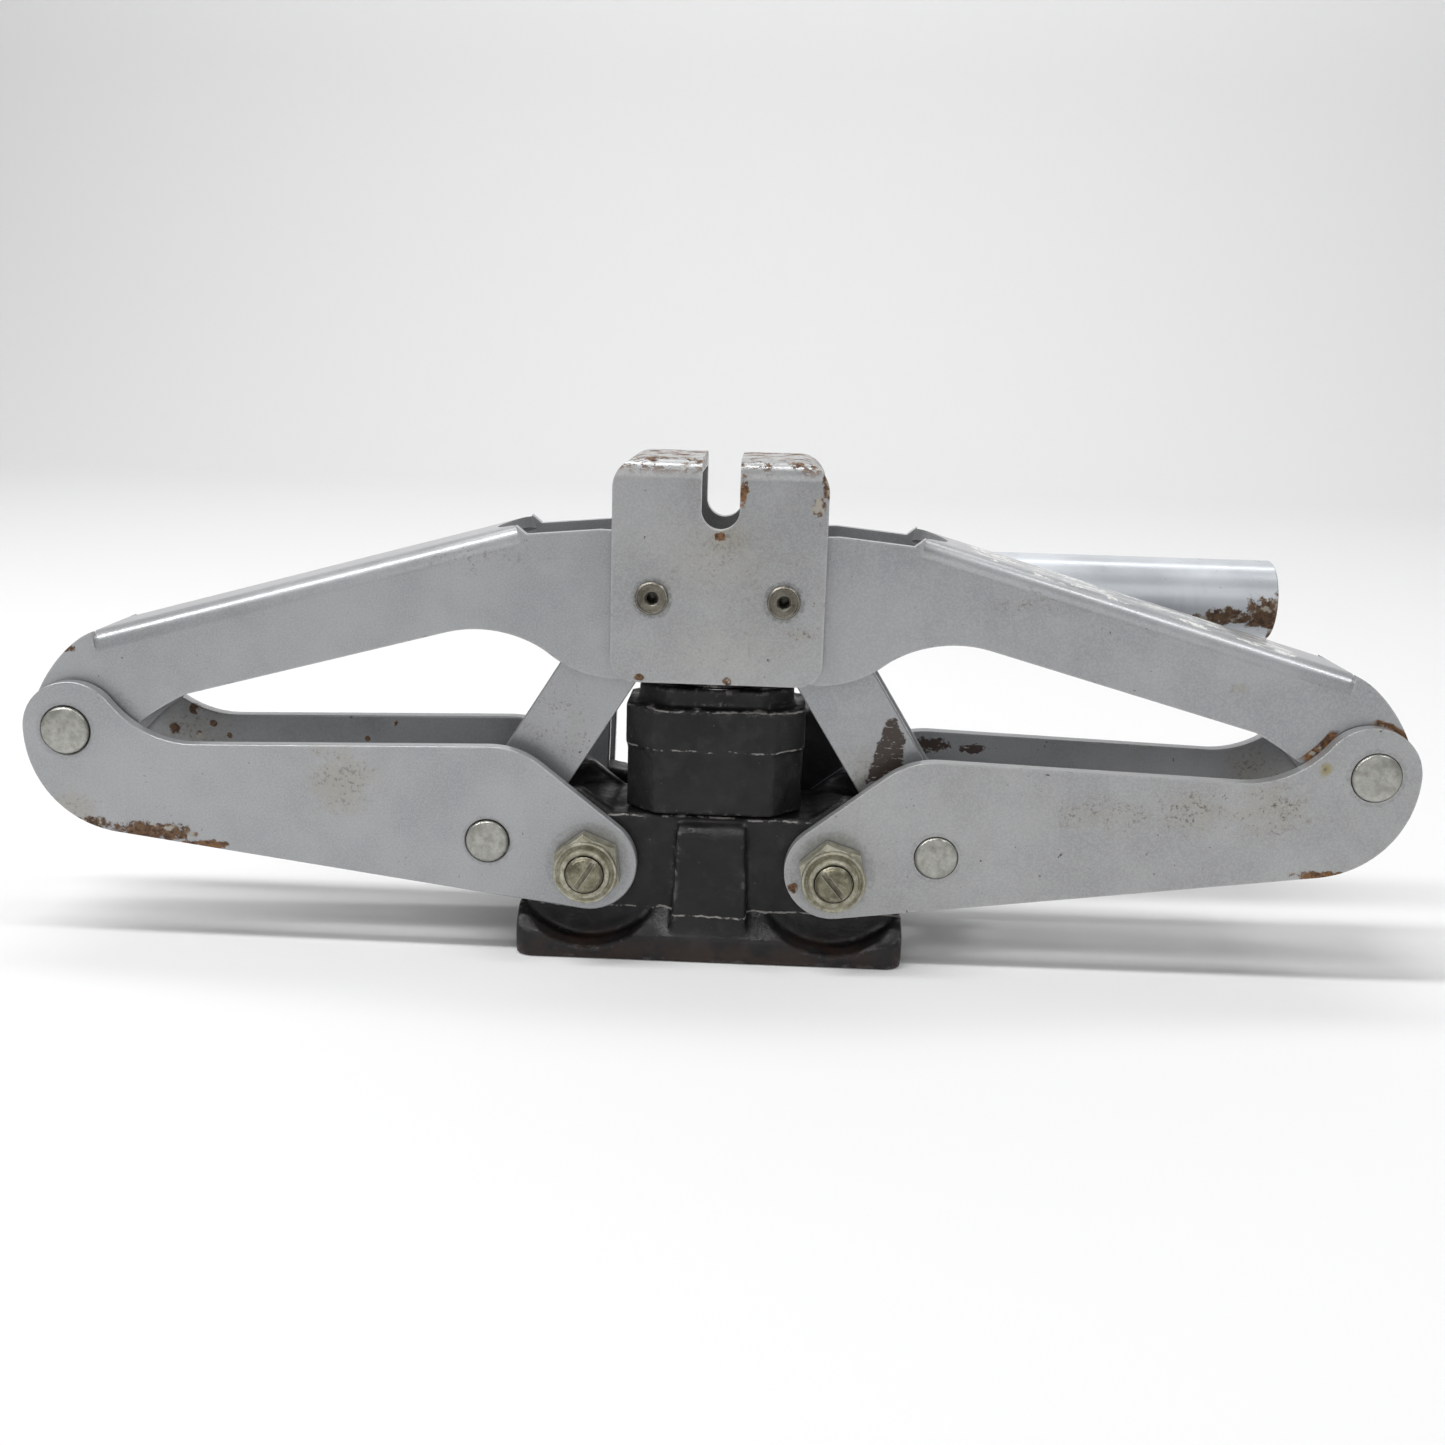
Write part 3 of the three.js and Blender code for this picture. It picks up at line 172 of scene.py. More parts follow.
# ---- solids
def linked(name, data):
    """A new object in the scene."""
    obj = bpy.data.objects.new(name, data)
    bpy.context.scene.collection.objects.link(obj)
    return obj


def discard(obj):
    mesh = obj.data
    bpy.data.objects.remove(obj)
    bpy.data.meshes.remove(mesh)


def new_object(name, bm):
    mesh = bpy.data.meshes.new(name)
    bmesh.ops.recalc_face_normals(bm, faces=bm.faces)
    bm.to_mesh(mesh)
    bm.free()
    return linked(name, mesh)


def prism(name, points, low, high, place=lambda u, v, w: (u, w, v)):
    """A flat outline given thickness. place turns outline and depth coordinates into X, Y and Z."""
    bm = bmesh.new()
    outline = tidy(points)
    near = [bm.verts.new(Vector(place(p[0], p[1], low)) * MM) for p in outline]
    far = [bm.verts.new(Vector(place(p[0], p[1], high)) * MM) for p in outline]
    bm.faces.new(near)
    bm.faces.new(list(reversed(far)))
    for i in range(len(outline)):
        j = (i + 1) % len(outline)
        bm.faces.new((near[i], far[i], far[j], near[j]))
    return new_object(name, bm)


def on_x(u, v, w):
    return (w, u, v)


def on_z(u, v, w):
    return (u, v, w)


def turned(name, profile, centre, axis="y", sides=48):
    """A turned piece from [radius, place along the axis] pairs, closed on the axis or on itself."""
    bm = bmesh.new()
    rings = []
    for radius, along in profile:
        if radius < 1e-6:
            rings.append([bm.verts.new((0, 0, along))])
            continue
        turns = [2 * math.pi * i / sides for i in range(sides)]
        rings.append([bm.verts.new((radius * math.cos(t), radius * math.sin(t), along)) for t in turns])
    closed = profile[0][0] > 1e-6
    pairs = list(zip(rings, rings[1:] + rings[:1] if closed else rings[1:]))
    for first, second in pairs:
        for i in range(sides):
            j = (i + 1) % sides
            corners = ((first, i), (first, j), (second, j), (second, i))
            unique = list(dict.fromkeys(ring[k % len(ring)] for ring, k in corners))
            if len(unique) > 2:
                bm.faces.new(unique)
    turn = {"x": Matrix.Rotation(math.pi / 2, 4, "Y"), "y": Matrix.Rotation(-math.pi / 2, 4, "X")}
    move = Matrix.Diagonal((MM, MM, MM, 1)) @ Matrix.Translation(centre) @ turn.get(axis, Matrix.Identity(4))
    bm.transform(move)
    return new_object(name, bm)


def bar(centre, radius, low, high, sides=48):
    """A round cutter along Y."""
    return prism("tool", arc(centre, radius, 0, 360, 360 / sides)[:-1], low, high)


def rod(radius, low, high, centre, axis, sides=48):
    """A round cutter along any axis."""
    return turned("tool", [(0, low), (radius, low), (radius, high), (0, high)], centre, axis, sides)


def evaluated(obj):
    """Applies an object's modifiers to its mesh."""
    graph = bpy.context.evaluated_depsgraph_get()
    graph.update()
    mesh = bpy.data.meshes.new_from_object(obj.evaluated_get(graph))
    mesh.name = obj.name
    old = obj.data
    obj.modifiers.clear()
    obj.data = mesh
    bpy.data.meshes.remove(old)
    return obj


def combine(obj, tools, operation="DIFFERENCE"):
    for tool in tools:
        step = obj.modifiers.new("step", "BOOLEAN")
        step.operation = operation
        step.solver = "EXACT"
        step.object = tool
    evaluated(obj)
    for tool in tools:
        discard(tool)
    return obj


def smooth(obj, angle=32):
    for polygon in obj.data.polygons:
        polygon.use_smooth = True
    obj.data.set_sharp_from_angle(angle=math.radians(angle))
    return obj


def add_bevel(obj, width, segments, angle):
    bevel = obj.modifiers.new("bevel", "BEVEL")
    bevel.width = width * MM
    bevel.segments = segments
    bevel.limit_method = "ANGLE"
    bevel.angle_limit = math.radians(angle)
    return bevel


def soften(obj, width, segments, angle=32):
    """Rounds the true edges, and keeps flat faces flat in the shading."""
    bm = bmesh.new()
    bm.from_mesh(obj.data)
    bmesh.ops.remove_doubles(bm, verts=bm.verts, dist=2e-6)
    bmesh.ops.dissolve_limit(bm, angle_limit=math.radians(0.6), verts=bm.verts, edges=bm.edges)
    bm.to_mesh(obj.data)
    bm.free()
    add_bevel(obj, width, segments, angle)
    evaluated(obj)
    smooth(obj, 50)
    weigh = obj.modifiers.new("weigh", "WEIGHTED_NORMAL")
    weigh.keep_sharp = True
    weigh.mode = "FACE_AREA"
    return evaluated(obj)


def stand_for(obj, node, material):
    """Names the piece after its node, rides it on the node's body and hides the node."""
    obj.name = node + "_shape"
    obj.data.name = obj.name
    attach(obj, BODY_OF[node])
    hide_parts(node)
    obj.data.materials.clear()
    obj.data.materials.append(material)
    return obj


# ---- materials
class Nodes:
    """A small builder for one material's node tree. Coordinates are the frame's, in millimetres."""

    def __init__(self, name):
        self.material = bpy.data.materials.new(name)
        self.material.use_nodes = True
        self.tree = self.material.node_tree
        self.tree.nodes.clear()
        self.output = self.tree.nodes.new("ShaderNodeOutputMaterial")
        self.shader = self.tree.nodes.new("ShaderNodeBsdfPrincipled")
        self.tree.links.new(self.shader.outputs["BSDF"], self.output.inputs["Surface"])
        place = self.tree.nodes.new("ShaderNodeTexCoord").outputs["Object"]
        self.place = self.vector("SCALE", place, scale=1 / MM)

    def put(self, socket, value):
        if isinstance(value, bpy.types.NodeSocket):
            self.tree.links.new(value, socket)
        elif value is not None:
            socket.default_value = value

    def node(self, kind, inputs, **settings):
        """A new node with its settings, and with its inputs linked or set by place or name."""
        node = self.tree.nodes.new("ShaderNode" + kind)
        for name, value in settings.items():
            setattr(node, name, value)
        for key, value in inputs.items():
            if value is not None:
                self.put(node.inputs[key], value)
        return node

    def vector(self, operation, a, b=None, scale=None):
        node = self.node("VectorMath", {0: a, 1: b, "Scale": scale}, operation=operation)
        return node.outputs["Value" if operation in ("LENGTH", "DOT_PRODUCT") else "Vector"]

    def math(self, operation, a, b=None):
        return self.node("Math", {0: a, 1: b}, operation=operation).outputs[0]

    def times(self, a, b):
        return self.math("MULTIPLY", a, b)

    def plus(self, a, b):
        return self.math("ADD", a, b)

    def minus(self, a, b):
        return self.math("SUBTRACT", a, b)

    def noise(self, size, detail=3.0, roughness=0.55, stretch=None, seed=0.0):
        """Noise with features of about the given size in millimetres, from 0 to 1."""
        place = self.place if stretch is None else self.vector("MULTIPLY", self.place, stretch)
        place = self.vector("ADD", place, (seed * 37.1, seed * 11.3, seed * 23.7))
        inputs = {"Vector": place, "Scale": 1 / size, "Detail": detail, "Roughness": roughness}
        return self.node("TexNoise", inputs).outputs["Fac"]

    def flecks(self, size, detail, roughness, seed, low, high):
        """Noise cut off between two of its values."""
        return self.step(self.noise(size, detail, roughness, seed=seed), low, high)

    def cells(self, size, seed=0.0):
        """Distance to the nearest of scattered points about a size apart, in parts of that size."""
        place = self.vector("ADD", self.place, (seed * 13.7, seed * 5.1, seed * 29.3))
        return self.node("TexVoronoi", {"Vector": place, "Scale": 1 / size}).outputs["Distance"]

    def step(self, value, low, high):
        """Rises smoothly from 0 at low to 1 at high, or falls where low is over high."""
        start, end = (1.0, 0.0) if low > high else (0.0, 1.0)
        inputs = {"Value": value, "From Min": min(low, high), "From Max": max(low, high),
                  "To Min": start, "To Max": end}
        return self.node("MapRange", inputs, interpolation_type="SMOOTHSTEP").outputs["Result"]

    def mix(self, factor, a, b):
        inputs = {"Factor": factor, "A": colour(a), "B": colour(b)}
        return self.node("Mix", inputs, data_type="RGBA").outputs["Result"]

    def cover(self, base, tint, mask, share):
        """Lays a tint over a colour where the mask is 1, at a share from 0 to 1."""
        return self.mix(self.times(mask, share), base, tint)

    def blend(self, factor, a, b):
        """A number between two others."""
        return self.node("Mix", {"Factor": factor, "A": a, "B": b}, data_type="FLOAT").outputs["Result"]

    def axis(self, letter):
        return self.node("SeparateXYZ", {0: self.place}).outputs[letter]

    def edges(self, radius=1.2, low=0.02, high=0.12):
        """1 on outside and inside edges, from how far a rounded normal leans away from the true one."""
        rounded = self.node("Bevel", {"Radius": radius * MM}, samples=4).outputs["Normal"]
        true = self.node("NewGeometry", {}).outputs["Normal"]
        lean = self.minus(1.0, self.vector("DOT_PRODUCT", rounded, true))
        return self.step(lean, low, high)

    def torn(self, distance, ragged, grain, seed):
        """A distance made uneven by noise, so that an edge drawn from it looks torn."""
        uneven = self.minus(self.noise(grain, 5, 0.65, seed=seed), 0.5)
        return self.plus(distance, self.times(uneven, ragged * 4))

    def patch(self, centre, radius, ragged, grain, seed, soft=0.15):
        """1 inside an uneven patch round a place, fading to 0 outside it."""
        offset = self.vector("SUBTRACT", self.place, tuple(centre))
        scaled = self.vector("MULTIPLY", offset, tuple(1 / r for r in radius))
        distance = self.vector("LENGTH", scaled)
        return self.step(self.torn(distance, ragged, grain, seed), 0.9 + soft, 0.9 - soft)

    def polygon(self, corners, ragged, grain, seed):
        """1 inside a convex outline in X and Z, with a torn edge. Corners run anticlockwise."""
        inside = None
        for a, b in zip(corners, corners[1:] + corners[:1]):
            length = math.dist(a, b)
            normal = ((a[1] - b[1]) / length, 0.0, (b[0] - a[0]) / length)
            along = self.vector("DOT_PRODUCT", self.place, normal)
            distance = self.minus(along, normal[0] * a[0] + normal[2] * a[1])
            inside = distance if inside is None else self.math("MINIMUM", inside, distance)
        return self.step(self.torn(inside, ragged, grain, seed), -0.1, 0.3)

    def ring(self, centre, inner, outer, ragged, grain, seed):
        """1 between two radii round an axis along Y, torn on its outer side."""
        offset = self.vector("SUBTRACT", self.place, (centre[0], 0.0, centre[1]))
        distance = self.vector("LENGTH", self.vector("MULTIPLY", offset, (1.0, 0.0, 1.0)))
        within = self.step(self.torn(distance, ragged, grain, seed), outer + 0.3, outer - 0.3)
        return self.times(within, self.step(distance, inner - 0.2, inner + 0.2))

    def crevice(self, distance, low, high):
        """1 deep in corners, from how much of the sky is hidden nearby: the mask for painted shade in
        corners.
        """
        sky = self.node("AmbientOcclusion", {"Distance": distance * MM}, samples=4).outputs["AO"]
        return self.step(sky, low, high)

    def most(self, *masks):
        whole = masks[0]
        for mask in masks[1:]:
            whole = self.math("MAXIMUM", whole, mask)
        return whole

    def bump(self, height, distance):
        inputs = {"Strength": 1.0, "Distance": distance * MM, "Height": height}
        return self.node("Bump", inputs).outputs["Normal"]

    def done(self, colour_value, roughness, metallic, normal=None):
        inputs = {"Base Color": colour(colour_value), "Roughness": roughness, "Metallic": metallic,
                  "Normal": normal}
        for name, value in inputs.items():
            self.put(self.shader.inputs[name], value)
        return self.material


def colour(value):
    return (*value, 1.0) if isinstance(value, tuple) and len(value) == 3 else value


WARM = (1.0, 0.99, 0.965)
PAINT_LIGHT = (0.380, 0.387, 0.400)
PAINT_DARK = (0.315, 0.322, 0.334)
PIT = (0.060, 0.052, 0.045)
RUST_DARK = (0.060, 0.030, 0.018)
RUST_BROWN = (0.145, 0.090, 0.052)
RUST_ORANGE = (0.300, 0.135, 0.045)
STAIN = (0.33, 0.29, 0.20)
SPECK = (0.10, 0.080, 0.040)
BARE = (0.062, 0.044, 0.037)
SCRAPE = (0.44, 0.43, 0.41)
PALE = (0.62, 0.62, 0.62)
STREAK = (0.33, 0.32, 0.295)
CHIP = (0.21, 0.175, 0.145)
# colour of the painted shade in the corners of the silver paint
CREVICE_SHADE = (0.10, 0.095, 0.09)
DIRT = (0.12, 0.115, 0.11)
RUST_PALE = (0.40, 0.37, 0.32)
FILM_CLEAN, FILM_DIRTY = (0.78, 0.78, 0.76), (0.24, 0.22, 0.19)
BLACK_DEEP, BLACK_WORN = (0.007, 0.007, 0.008), (0.014, 0.013, 0.013)
DUST = (0.060, 0.055, 0.050)
LEDGE = (0.40, 0.38, 0.36)
CAST_SPECK = (0.16, 0.15, 0.14)
CAST_EDGE, CAST_CHIP = (0.20, 0.19, 0.18), (0.42, 0.40, 0.38)
CAST_RUST = (0.042, 0.022, 0.015)
# the second zinc colour is the painted shade for corners of zinc parts
ZINC_EDGE, ZINC_CREVICE_SHADE = (0.66, 0.65, 0.60), (0.045, 0.038, 0.028)


def toned(value, tone):
    return tuple(a * b for a, b in zip(value, tone))


def area_mask(g, area, seed):
    """The mask of one worn area. A ring is limited by a patch."""
    if area["kind"] == "patch":
        return g.patch(area["at"], area["size"], area["ragged"], area["grain"], seed, area.get("soft", 0.15))
    if area["kind"] == "polygon":
        return g.polygon(area["corners"], area["ragged"], area["grain"], seed)
    limit = g.patch(area["at"], area["size"], 0.2, 6.0, seed + 1)
    return g.times(limit, g.ring(area["centre"], area["inner"], area["outer"], 0.5, 2.0, seed))


def silver_paint(name, rust=(), stains=(), bare=(), dirt=(), worn_top=None, film=None, specks=0.5,
                 seed=0.0, tone=(1.0, 1.0, 1.0)):
    """Silver-grey metallic paint with pits, chipped edges, painted shade in corners and the given areas of
    wear.
    """
    g = Nodes(name)
    cloud = g.noise(34, 4, 0.6, seed=seed)
    grain = g.noise(0.55, 2, 0.6, seed=seed + 1)
    base = g.mix(g.step(cloud, 0.35, 0.65), toned(PAINT_DARK, tone), toned(PAINT_LIGHT, tone))
    base = g.cover(base, PALE, g.step(grain, 0.42, 0.62), 0.18)
    streak = g.noise(9, 4, 0.6, stretch=(1, 1, 0.35), seed=seed + 2)
    base = g.cover(base, STREAK, g.step(streak, 0.52, 0.75), 0.22)
    spread = 0.60 - 0.14 * specks
    pits = g.times(g.flecks(2.4, 3, 0.6, seed + 9, 0.70, 0.73),
                  g.step(g.noise(13, 3, seed=seed + 3), spread, spread + 0.05))
    fine = g.times(g.flecks(0.9, 3, 0.6, seed + 4, 0.68, 0.72),
                  g.flecks(20, 4, 0.65, seed + 5, spread, spread + 0.07))
    marks = g.most(pits, g.times(fine, 0.6))
    base = g.cover(base, PIT, marks, 0.8)
    edge = g.edges()
    chips = g.times(edge, g.flecks(2.6, 4, 0.65, seed + 6, 0.57, 0.64))
    base = g.cover(base, PALE, edge, 0.30)
    base = g.cover(base, CHIP, chips, 0.65)
    height = g.minus(g.times(grain, 0.25), marks)
    rough = g.blend(g.step(cloud, 0.3, 0.7), 0.29, 0.38)
    metal = 0.42
    coat = 0.35
    # painted shade: darker in corners, where nearby parts hide the sky
    base = g.cover(base, CREVICE_SHADE, g.crevice(2.2, 0.62, 0.25), 0.55)
    if film is not None:
        base, rough = torn_film(g, film, base, rough, seed)
    for index, stain in enumerate(stains):
        area = area_mask(g, {"soft": 0.6, **stain}, seed + 10 + index)
        dots = g.flecks(1.1, 5, 0.75, seed + 20 + index, 0.53, 0.58)
        spots = g.times(dots, g.flecks(4.5, 4, 0.65, seed + 21 + index, 0.43, 0.53))
        tint = g.mix(spots, stain.get("tint", STAIN), SPECK)
        cover = g.times(area, g.blend(spots, stain["haze"], stain["spots"]))
        base = g.mix(cover, base, tint)
    for index, spot in enumerate(dirt):
        area = area_mask(g, spot, seed + 70 + index)
        thin = g.flecks(1.3, 5, 0.7, seed + 71, 0.35, 0.62)
        base = g.cover(base, DIRT, g.times(area, thin), spot.get("amount", 0.5))
    masks = [(area_mask(g, area, seed + 30 + i), area.get("orange", 0.3)) for i, area in enumerate(rust)]
    if worn_top is not None:
        masks.append((worn_edge(g, worn_top, seed), 0.25))
    for index, (rusty, orange) in enumerate(masks):
        mottle = g.noise(1.7, 5, 0.7, seed=seed + 41 + index)
        light = tuple(a + (b - a) * orange for a, b in zip(RUST_BROWN, RUST_ORANGE))
        tint = g.mix(g.step(mottle, 0.36, 0.62), RUST_DARK, light)
        tint = g.mix(g.step(g.noise(3.4, 4, seed=seed + 42 + index), 0.54, 0.64), tint, RUST_PALE)
        base = g.mix(rusty, base, tint)
        rough = g.blend(rusty, rough, 0.82)
        metal = g.blend(rusty, metal, 0.0)
        coat = g.blend(rusty, coat, 0.0)
        height = g.plus(height, g.times(rusty, g.times(mottle, 1.6)))
    for index, area in enumerate(bare):
        gone = area_mask(g, area, seed + 50 + index)
        scrape = g.noise(1.6, 5, 0.7, stretch=(0.5, 1, 1.6), seed=seed + 51)
        tint = g.mix(g.step(scrape, 0.57, 0.64), BARE, SCRAPE)
        base = g.mix(gone, base, tint)
        rough = g.blend(gone, rough, 0.6)
        height = g.minus(height, g.times(gone, 1.2))
    g.put(g.shader.inputs["Coat Weight"], coat)
    g.shader.inputs["Coat Roughness"].default_value = 0.13
    return g.done(base, rough, metal, g.bump(height, 0.10))


def worn_edge(g, height, seed):
    """Worn metal on the saddle's top bend and its corners."""
    up = g.step(g.axis("Z"), height - 5.5, height - 1.2)
    torn = g.noise(3.6, 5, 0.7, stretch=(0.6, 1, 1), seed=seed + 61)
    return g.times(up, g.step(torn, 0.50, 0.55))


def torn_film(g, film, base, rough, seed):
    """Flakes of an old pale film on the sloping top of an arm."""
    origin, slope, start, end = film
    offset = g.vector("SUBTRACT", g.place, (origin[0], 0.0, origin[1]))
    over = g.vector("DOT_PRODUCT", offset, (-math.sin(slope), 0.0, math.cos(slope)))
    along = g.vector("DOT_PRODUCT", offset, (math.cos(slope), 0.0, math.sin(slope)))
    torn = g.noise(7.0, 5, 0.7, stretch=(0.6, 1.4, 1), seed=seed + 81)
    flakes = g.times(g.step(over, -0.9, -0.3), g.step(torn, 0.50, 0.54))
    length = g.times(g.step(along, start, start + 3), g.step(along, end + 3, end))
    flakes = g.times(flakes, length)
    dirty = g.mix(g.flecks(1.6, 5, 0.7, seed + 82, 0.50, 0.66), FILM_CLEAN, FILM_DIRTY)
    return g.mix(flakes, base, dirty), g.blend(flakes, rough, 0.7)


def ledges_mask(g, ledges, seed):
    """Thin chipped lines where the paint is gone from a ledge at each of some heights."""
    broken = g.flecks(4.0, 5, 0.7, seed + 8, 0.45, 0.55)
    lines = []
    for z in ledges:
        wobble = g.times(g.minus(g.noise(9, 3, seed=seed + z), 0.5), 3.0)
        away = g.math("ABSOLUTE", g.minus(g.plus(g.axis("Z"), wobble), z))
        lines.append(g.step(away, 0.35, 0.12))
    return g.times(g.most(*lines), broken)


def black_paint(name, seed=0.0, tint_below=None, ledges=None, ledges_before=40.0):
    """Black paint over a sandy casting, with chipped bright edges and a brown tint near the floor."""
    g = Nodes(name)
    cloud = g.noise(18, 4, seed=seed)
    sand = g.noise(0.8, 3, 0.6, seed=seed + 1)
    lumps = g.noise(5.5, 3, 0.5, seed=seed + 2)
    base = g.mix(g.step(cloud, 0.35, 0.65), BLACK_DEEP, BLACK_WORN)
    base = g.cover(base, DUST, g.flecks(7, 5, 0.65, seed + 3, 0.50, 0.70), 0.22)
    if ledges is not None:
        front = g.step(g.axis("Y"), ledges_before, ledges_before - 1)
        lines = g.times(ledges_mask(g, ledges, seed), front)
        base = g.cover(base, LEDGE, lines, 0.7)
    specks = g.step(g.cells(4.2, seed + 4), 0.07, 0.03)
    base = g.cover(base, CAST_SPECK, specks, 0.5)
    edge = g.edges(2.2, 0.03, 0.11)
    bare = g.flecks(3.2, 5, 0.7, seed + 5, 0.52, 0.60)
    chips = g.times(edge, bare)
    base = g.cover(base, CAST_EDGE, edge, 0.10)
    base = g.cover(base, CAST_CHIP, chips, 0.75)
    if tint_below is not None:
        cloudy = g.step(g.noise(9, 4, seed=seed + 6), 0.36, 0.58)
        low = g.times(g.step(g.axis("Z"), tint_below, 1.5), cloudy)
        base = g.cover(base, CAST_RUST, low, 0.6)
    rough = g.blend(g.step(g.noise(6, 4, seed=seed + 7), 0.35, 0.65), 0.30, 0.50)
    rough = g.blend(chips, rough, 0.45)
    height = g.plus(g.times(sand, 0.5), g.times(lumps, 1.6))
    g.shader.inputs["Specular IOR Level"].default_value = 0.32
    return g.done(base, rough, 0.0, g.bump(height, 0.28))


def zinc(name, light, dark, stain=(0.16, 0.12, 0.06), amount=0.5, seed=0.0):
    """Dull zinc plate with yellowish staining, and painted shade in its corners."""
    g = Nodes(name)
    cloud = g.noise(3.4, 5, 0.65, seed=seed)
    base = g.mix(g.step(cloud, 0.32, 0.68), dark, light)
    dirt = g.times(g.flecks(1.5, 5, 0.7, seed + 1, 0.48, 0.66), amount)
    base = g.mix(dirt, base, stain)
    edge = g.edges(0.6, 0.03, 0.2)
    base = g.cover(base, ZINC_EDGE, edge, 0.45)
    # painted shade: darker in corners, where nearby parts hide the sky; the same mask makes these places
    # rougher
    crevice_shade = g.crevice(1.6, 0.62, 0.30)
    base = g.cover(base, ZINC_CREVICE_SHADE, crevice_shade, 0.8)
    rough = g.blend(g.math("MAXIMUM", dirt, crevice_shade), 0.34, 0.62)
    height = g.plus(g.noise(0.5, 3, seed=seed + 2), g.times(cloud, 1.4))
    return g.done(base, rough, 0.75, g.bump(height, 0.07))


def bright_steel(name):
    g = Nodes(name)
    brushed = g.noise(0.5, 3, 0.6, stretch=(1, 1, 9))
    film = g.noise(8, 4)
    base = g.mix(g.step(film, 0.4, 0.7), (0.56, 0.56, 0.56), (0.42, 0.40, 0.36))
    rough = g.blend(brushed, 0.18, 0.32)
    return g.done(base, rough, 1.0, g.bump(brushed, 0.02))


def rubber(name):
    g = Nodes(name)
    base = g.mix(g.step(g.noise(2.0, 4), 0.4, 0.6), (0.012, 0.012, 0.012), (0.030, 0.029, 0.028))
    return g.done(base, 0.62, 0.0, g.bump(g.noise(0.7, 3), 0.06))


# ---- arms
def tangent_slope(centre, radius, point):
    to_point = math.atan2(point.y - centre.y, point.x - centre.x)
    return math.degrees(to_point + math.asin(radius / (point - centre).length))


def polar(length, degrees):
    return Vector((math.cos(math.radians(degrees)), math.sin(math.radians(degrees)))) * length


def lower_arm_outline():
    end_radius, head_radius, neck_radius = 14.2, 14.4, 30.0
    belly = OUTER + xz(-13, -30.4)
    slope = tangent_slope(BASE, end_radius, belly)
    shoulder = xz(BASE.x + 21, OUTER.y)
    to_shoulder = math.atan2(shoulder.y - BASE.y, shoulder.x - BASE.x)
    slant = math.degrees(to_shoulder - math.asin(end_radius / (shoulder - BASE).length))
    head = OUTER - xz(1.6, 0)
    neck_z = OUTER.y - 2.9 + neck_radius
    reach = neck_radius + head_radius
    neck = Vector((head.x - math.sqrt(reach**2 - (neck_z - head.y) ** 2), neck_z))
    neck_end = math.degrees(math.atan2(head.y - neck.y, head.x - neck.x))
    corner = shoulder + polar(9, slant + 180)
    after = shoulder + xz(9, -0.3)
    right = head.x + head_radius
    points = arc(BASE, end_radius, slope - 90, slant + 90 - 360)
    points.append(corner)
    points += bezier(corner, corner.lerp(shoulder, 0.67), after.lerp(shoulder, 0.67), after)
    points += arc(neck, neck_radius, -90, neck_end)
    points += arc(head, head_radius, neck_end + 180, 0)
    points += bezier((right, head.y), (right, head.y - 15), (right - 10, belly.y + 2.4), belly, 22)
    return points


def plate(node, outline, low, high, holes, material, edge=0.6, segments=3):
    obj = prism(node, outline, low, high)
    combine(obj, [bar(p, r, low - 1, high + 1) for p, r in holes])
    soften(obj, edge, segments)
    stand_for(obj, node, material)


def lower_arm(node, side, low, high, material):
    holes = [(beside(p, side), r) for p, r in ((BASE, BASE_BORE), (OUTER, OUTER_BORE), (LINK, LINK_BORE))]
    plate(node, on_side(lower_arm_outline(), side), low, high, holes, material, 0.75, 4)


WEB_IN = SADDLE + xz(39.4, 18.6)
WEB_OUT = OUTER + xz(-7, 28.2)
SLOPE = math.atan2(WEB_OUT.y - WEB_IN.y, WEB_OUT.x - WEB_IN.x)
WEB_LENGTH = (WEB_OUT - WEB_IN).length


def upper_arm_outline():
    drop = 24 / math.cos(SLOPE)
    heel = xz(WEB_OUT.x - 27, WEB_OUT.y + 7.6 - drop)
    waist = xz(WEB_IN.x + 20, WEB_IN.y - 6.3 - drop)
    lobe = xz(SADDLE.x + 10.4, SADDLE.y - 24.5)
    inner = SADDLE.x - 1
    foot = SADDLE + polar(inner, 235)
    head = 12.3
    outer = OUTER.x + head
    under = OUTER + polar(head, 230)
    points = [heel, waist]
    points += bezier(waist, (waist.x - 12, waist.y + 3.2), (lobe.x + 25, lobe.y + 11.5),
                     (lobe.x + 18, lobe.y + 5.6))
    points += bezier(points[-1], (lobe.x + 12, lobe.y + 1.6), (lobe.x + 6, lobe.y), lobe)
    points += bezier(lobe, (lobe.x - 7.5, lobe.y), (foot.x + 4.6, foot.y - 4.2), foot)
    points += arc(SADDLE, inner, 235, 92)
    points.append(xz(SADDLE.x + 15.4, SADDLE.y + 18.2))
    points.append(xz(WEB_IN.x - 3, SADDLE.y + 16.2))
    points.append(WEB_IN.copy())
    points.append(WEB_OUT.copy())
    points += bezier(WEB_OUT, (WEB_OUT.x + 8, WEB_OUT.y - 3.4), (outer - 0.8, OUTER.y + 11.3),
                     (outer, OUTER.y), 20)
    points += arc(OUTER, head, 0, -130)
    points += bezier(under, (under.x - 5, under.y + 7), (heel.x + 11, heel.y - 5.9), heel)
    return points


def channel_section(outer, wall, bend, height):
    """An inverted U in Y and height below its top."""
    inner = outer - wall
    inside = max(bend - wall, 0.6)
    return (
        [xz(-outer, -height), xz(-inner, -height)]
        + arc((-inner + inside, -wall - inside), inside, 180, 90)
        + arc((inner - inside, -wall - inside), inside, 90, 0)
        + [xz(inner, -height), xz(outer, -height)]
        + arc((outer - bend, -bend), bend, 0, 90)
        + arc((-outer + bend, -bend), bend, 90, 180)
    )


def along_arm(obj, side):
    """Moves a piece made along X from the origin onto the arm's sloping top edge."""
    turn = Matrix.Rotation(-SLOPE, 4, "Y")
    place = Matrix.Translation(Vector((WEB_IN.x, 0, WEB_IN.y)) * MM) @ turn
    if side < 0:
        place = Matrix.Diagonal((-1, 1, 1, 1)) @ place
    obj.data.transform(place)
    if side < 0:
        obj.data.flip_normals()
    return obj


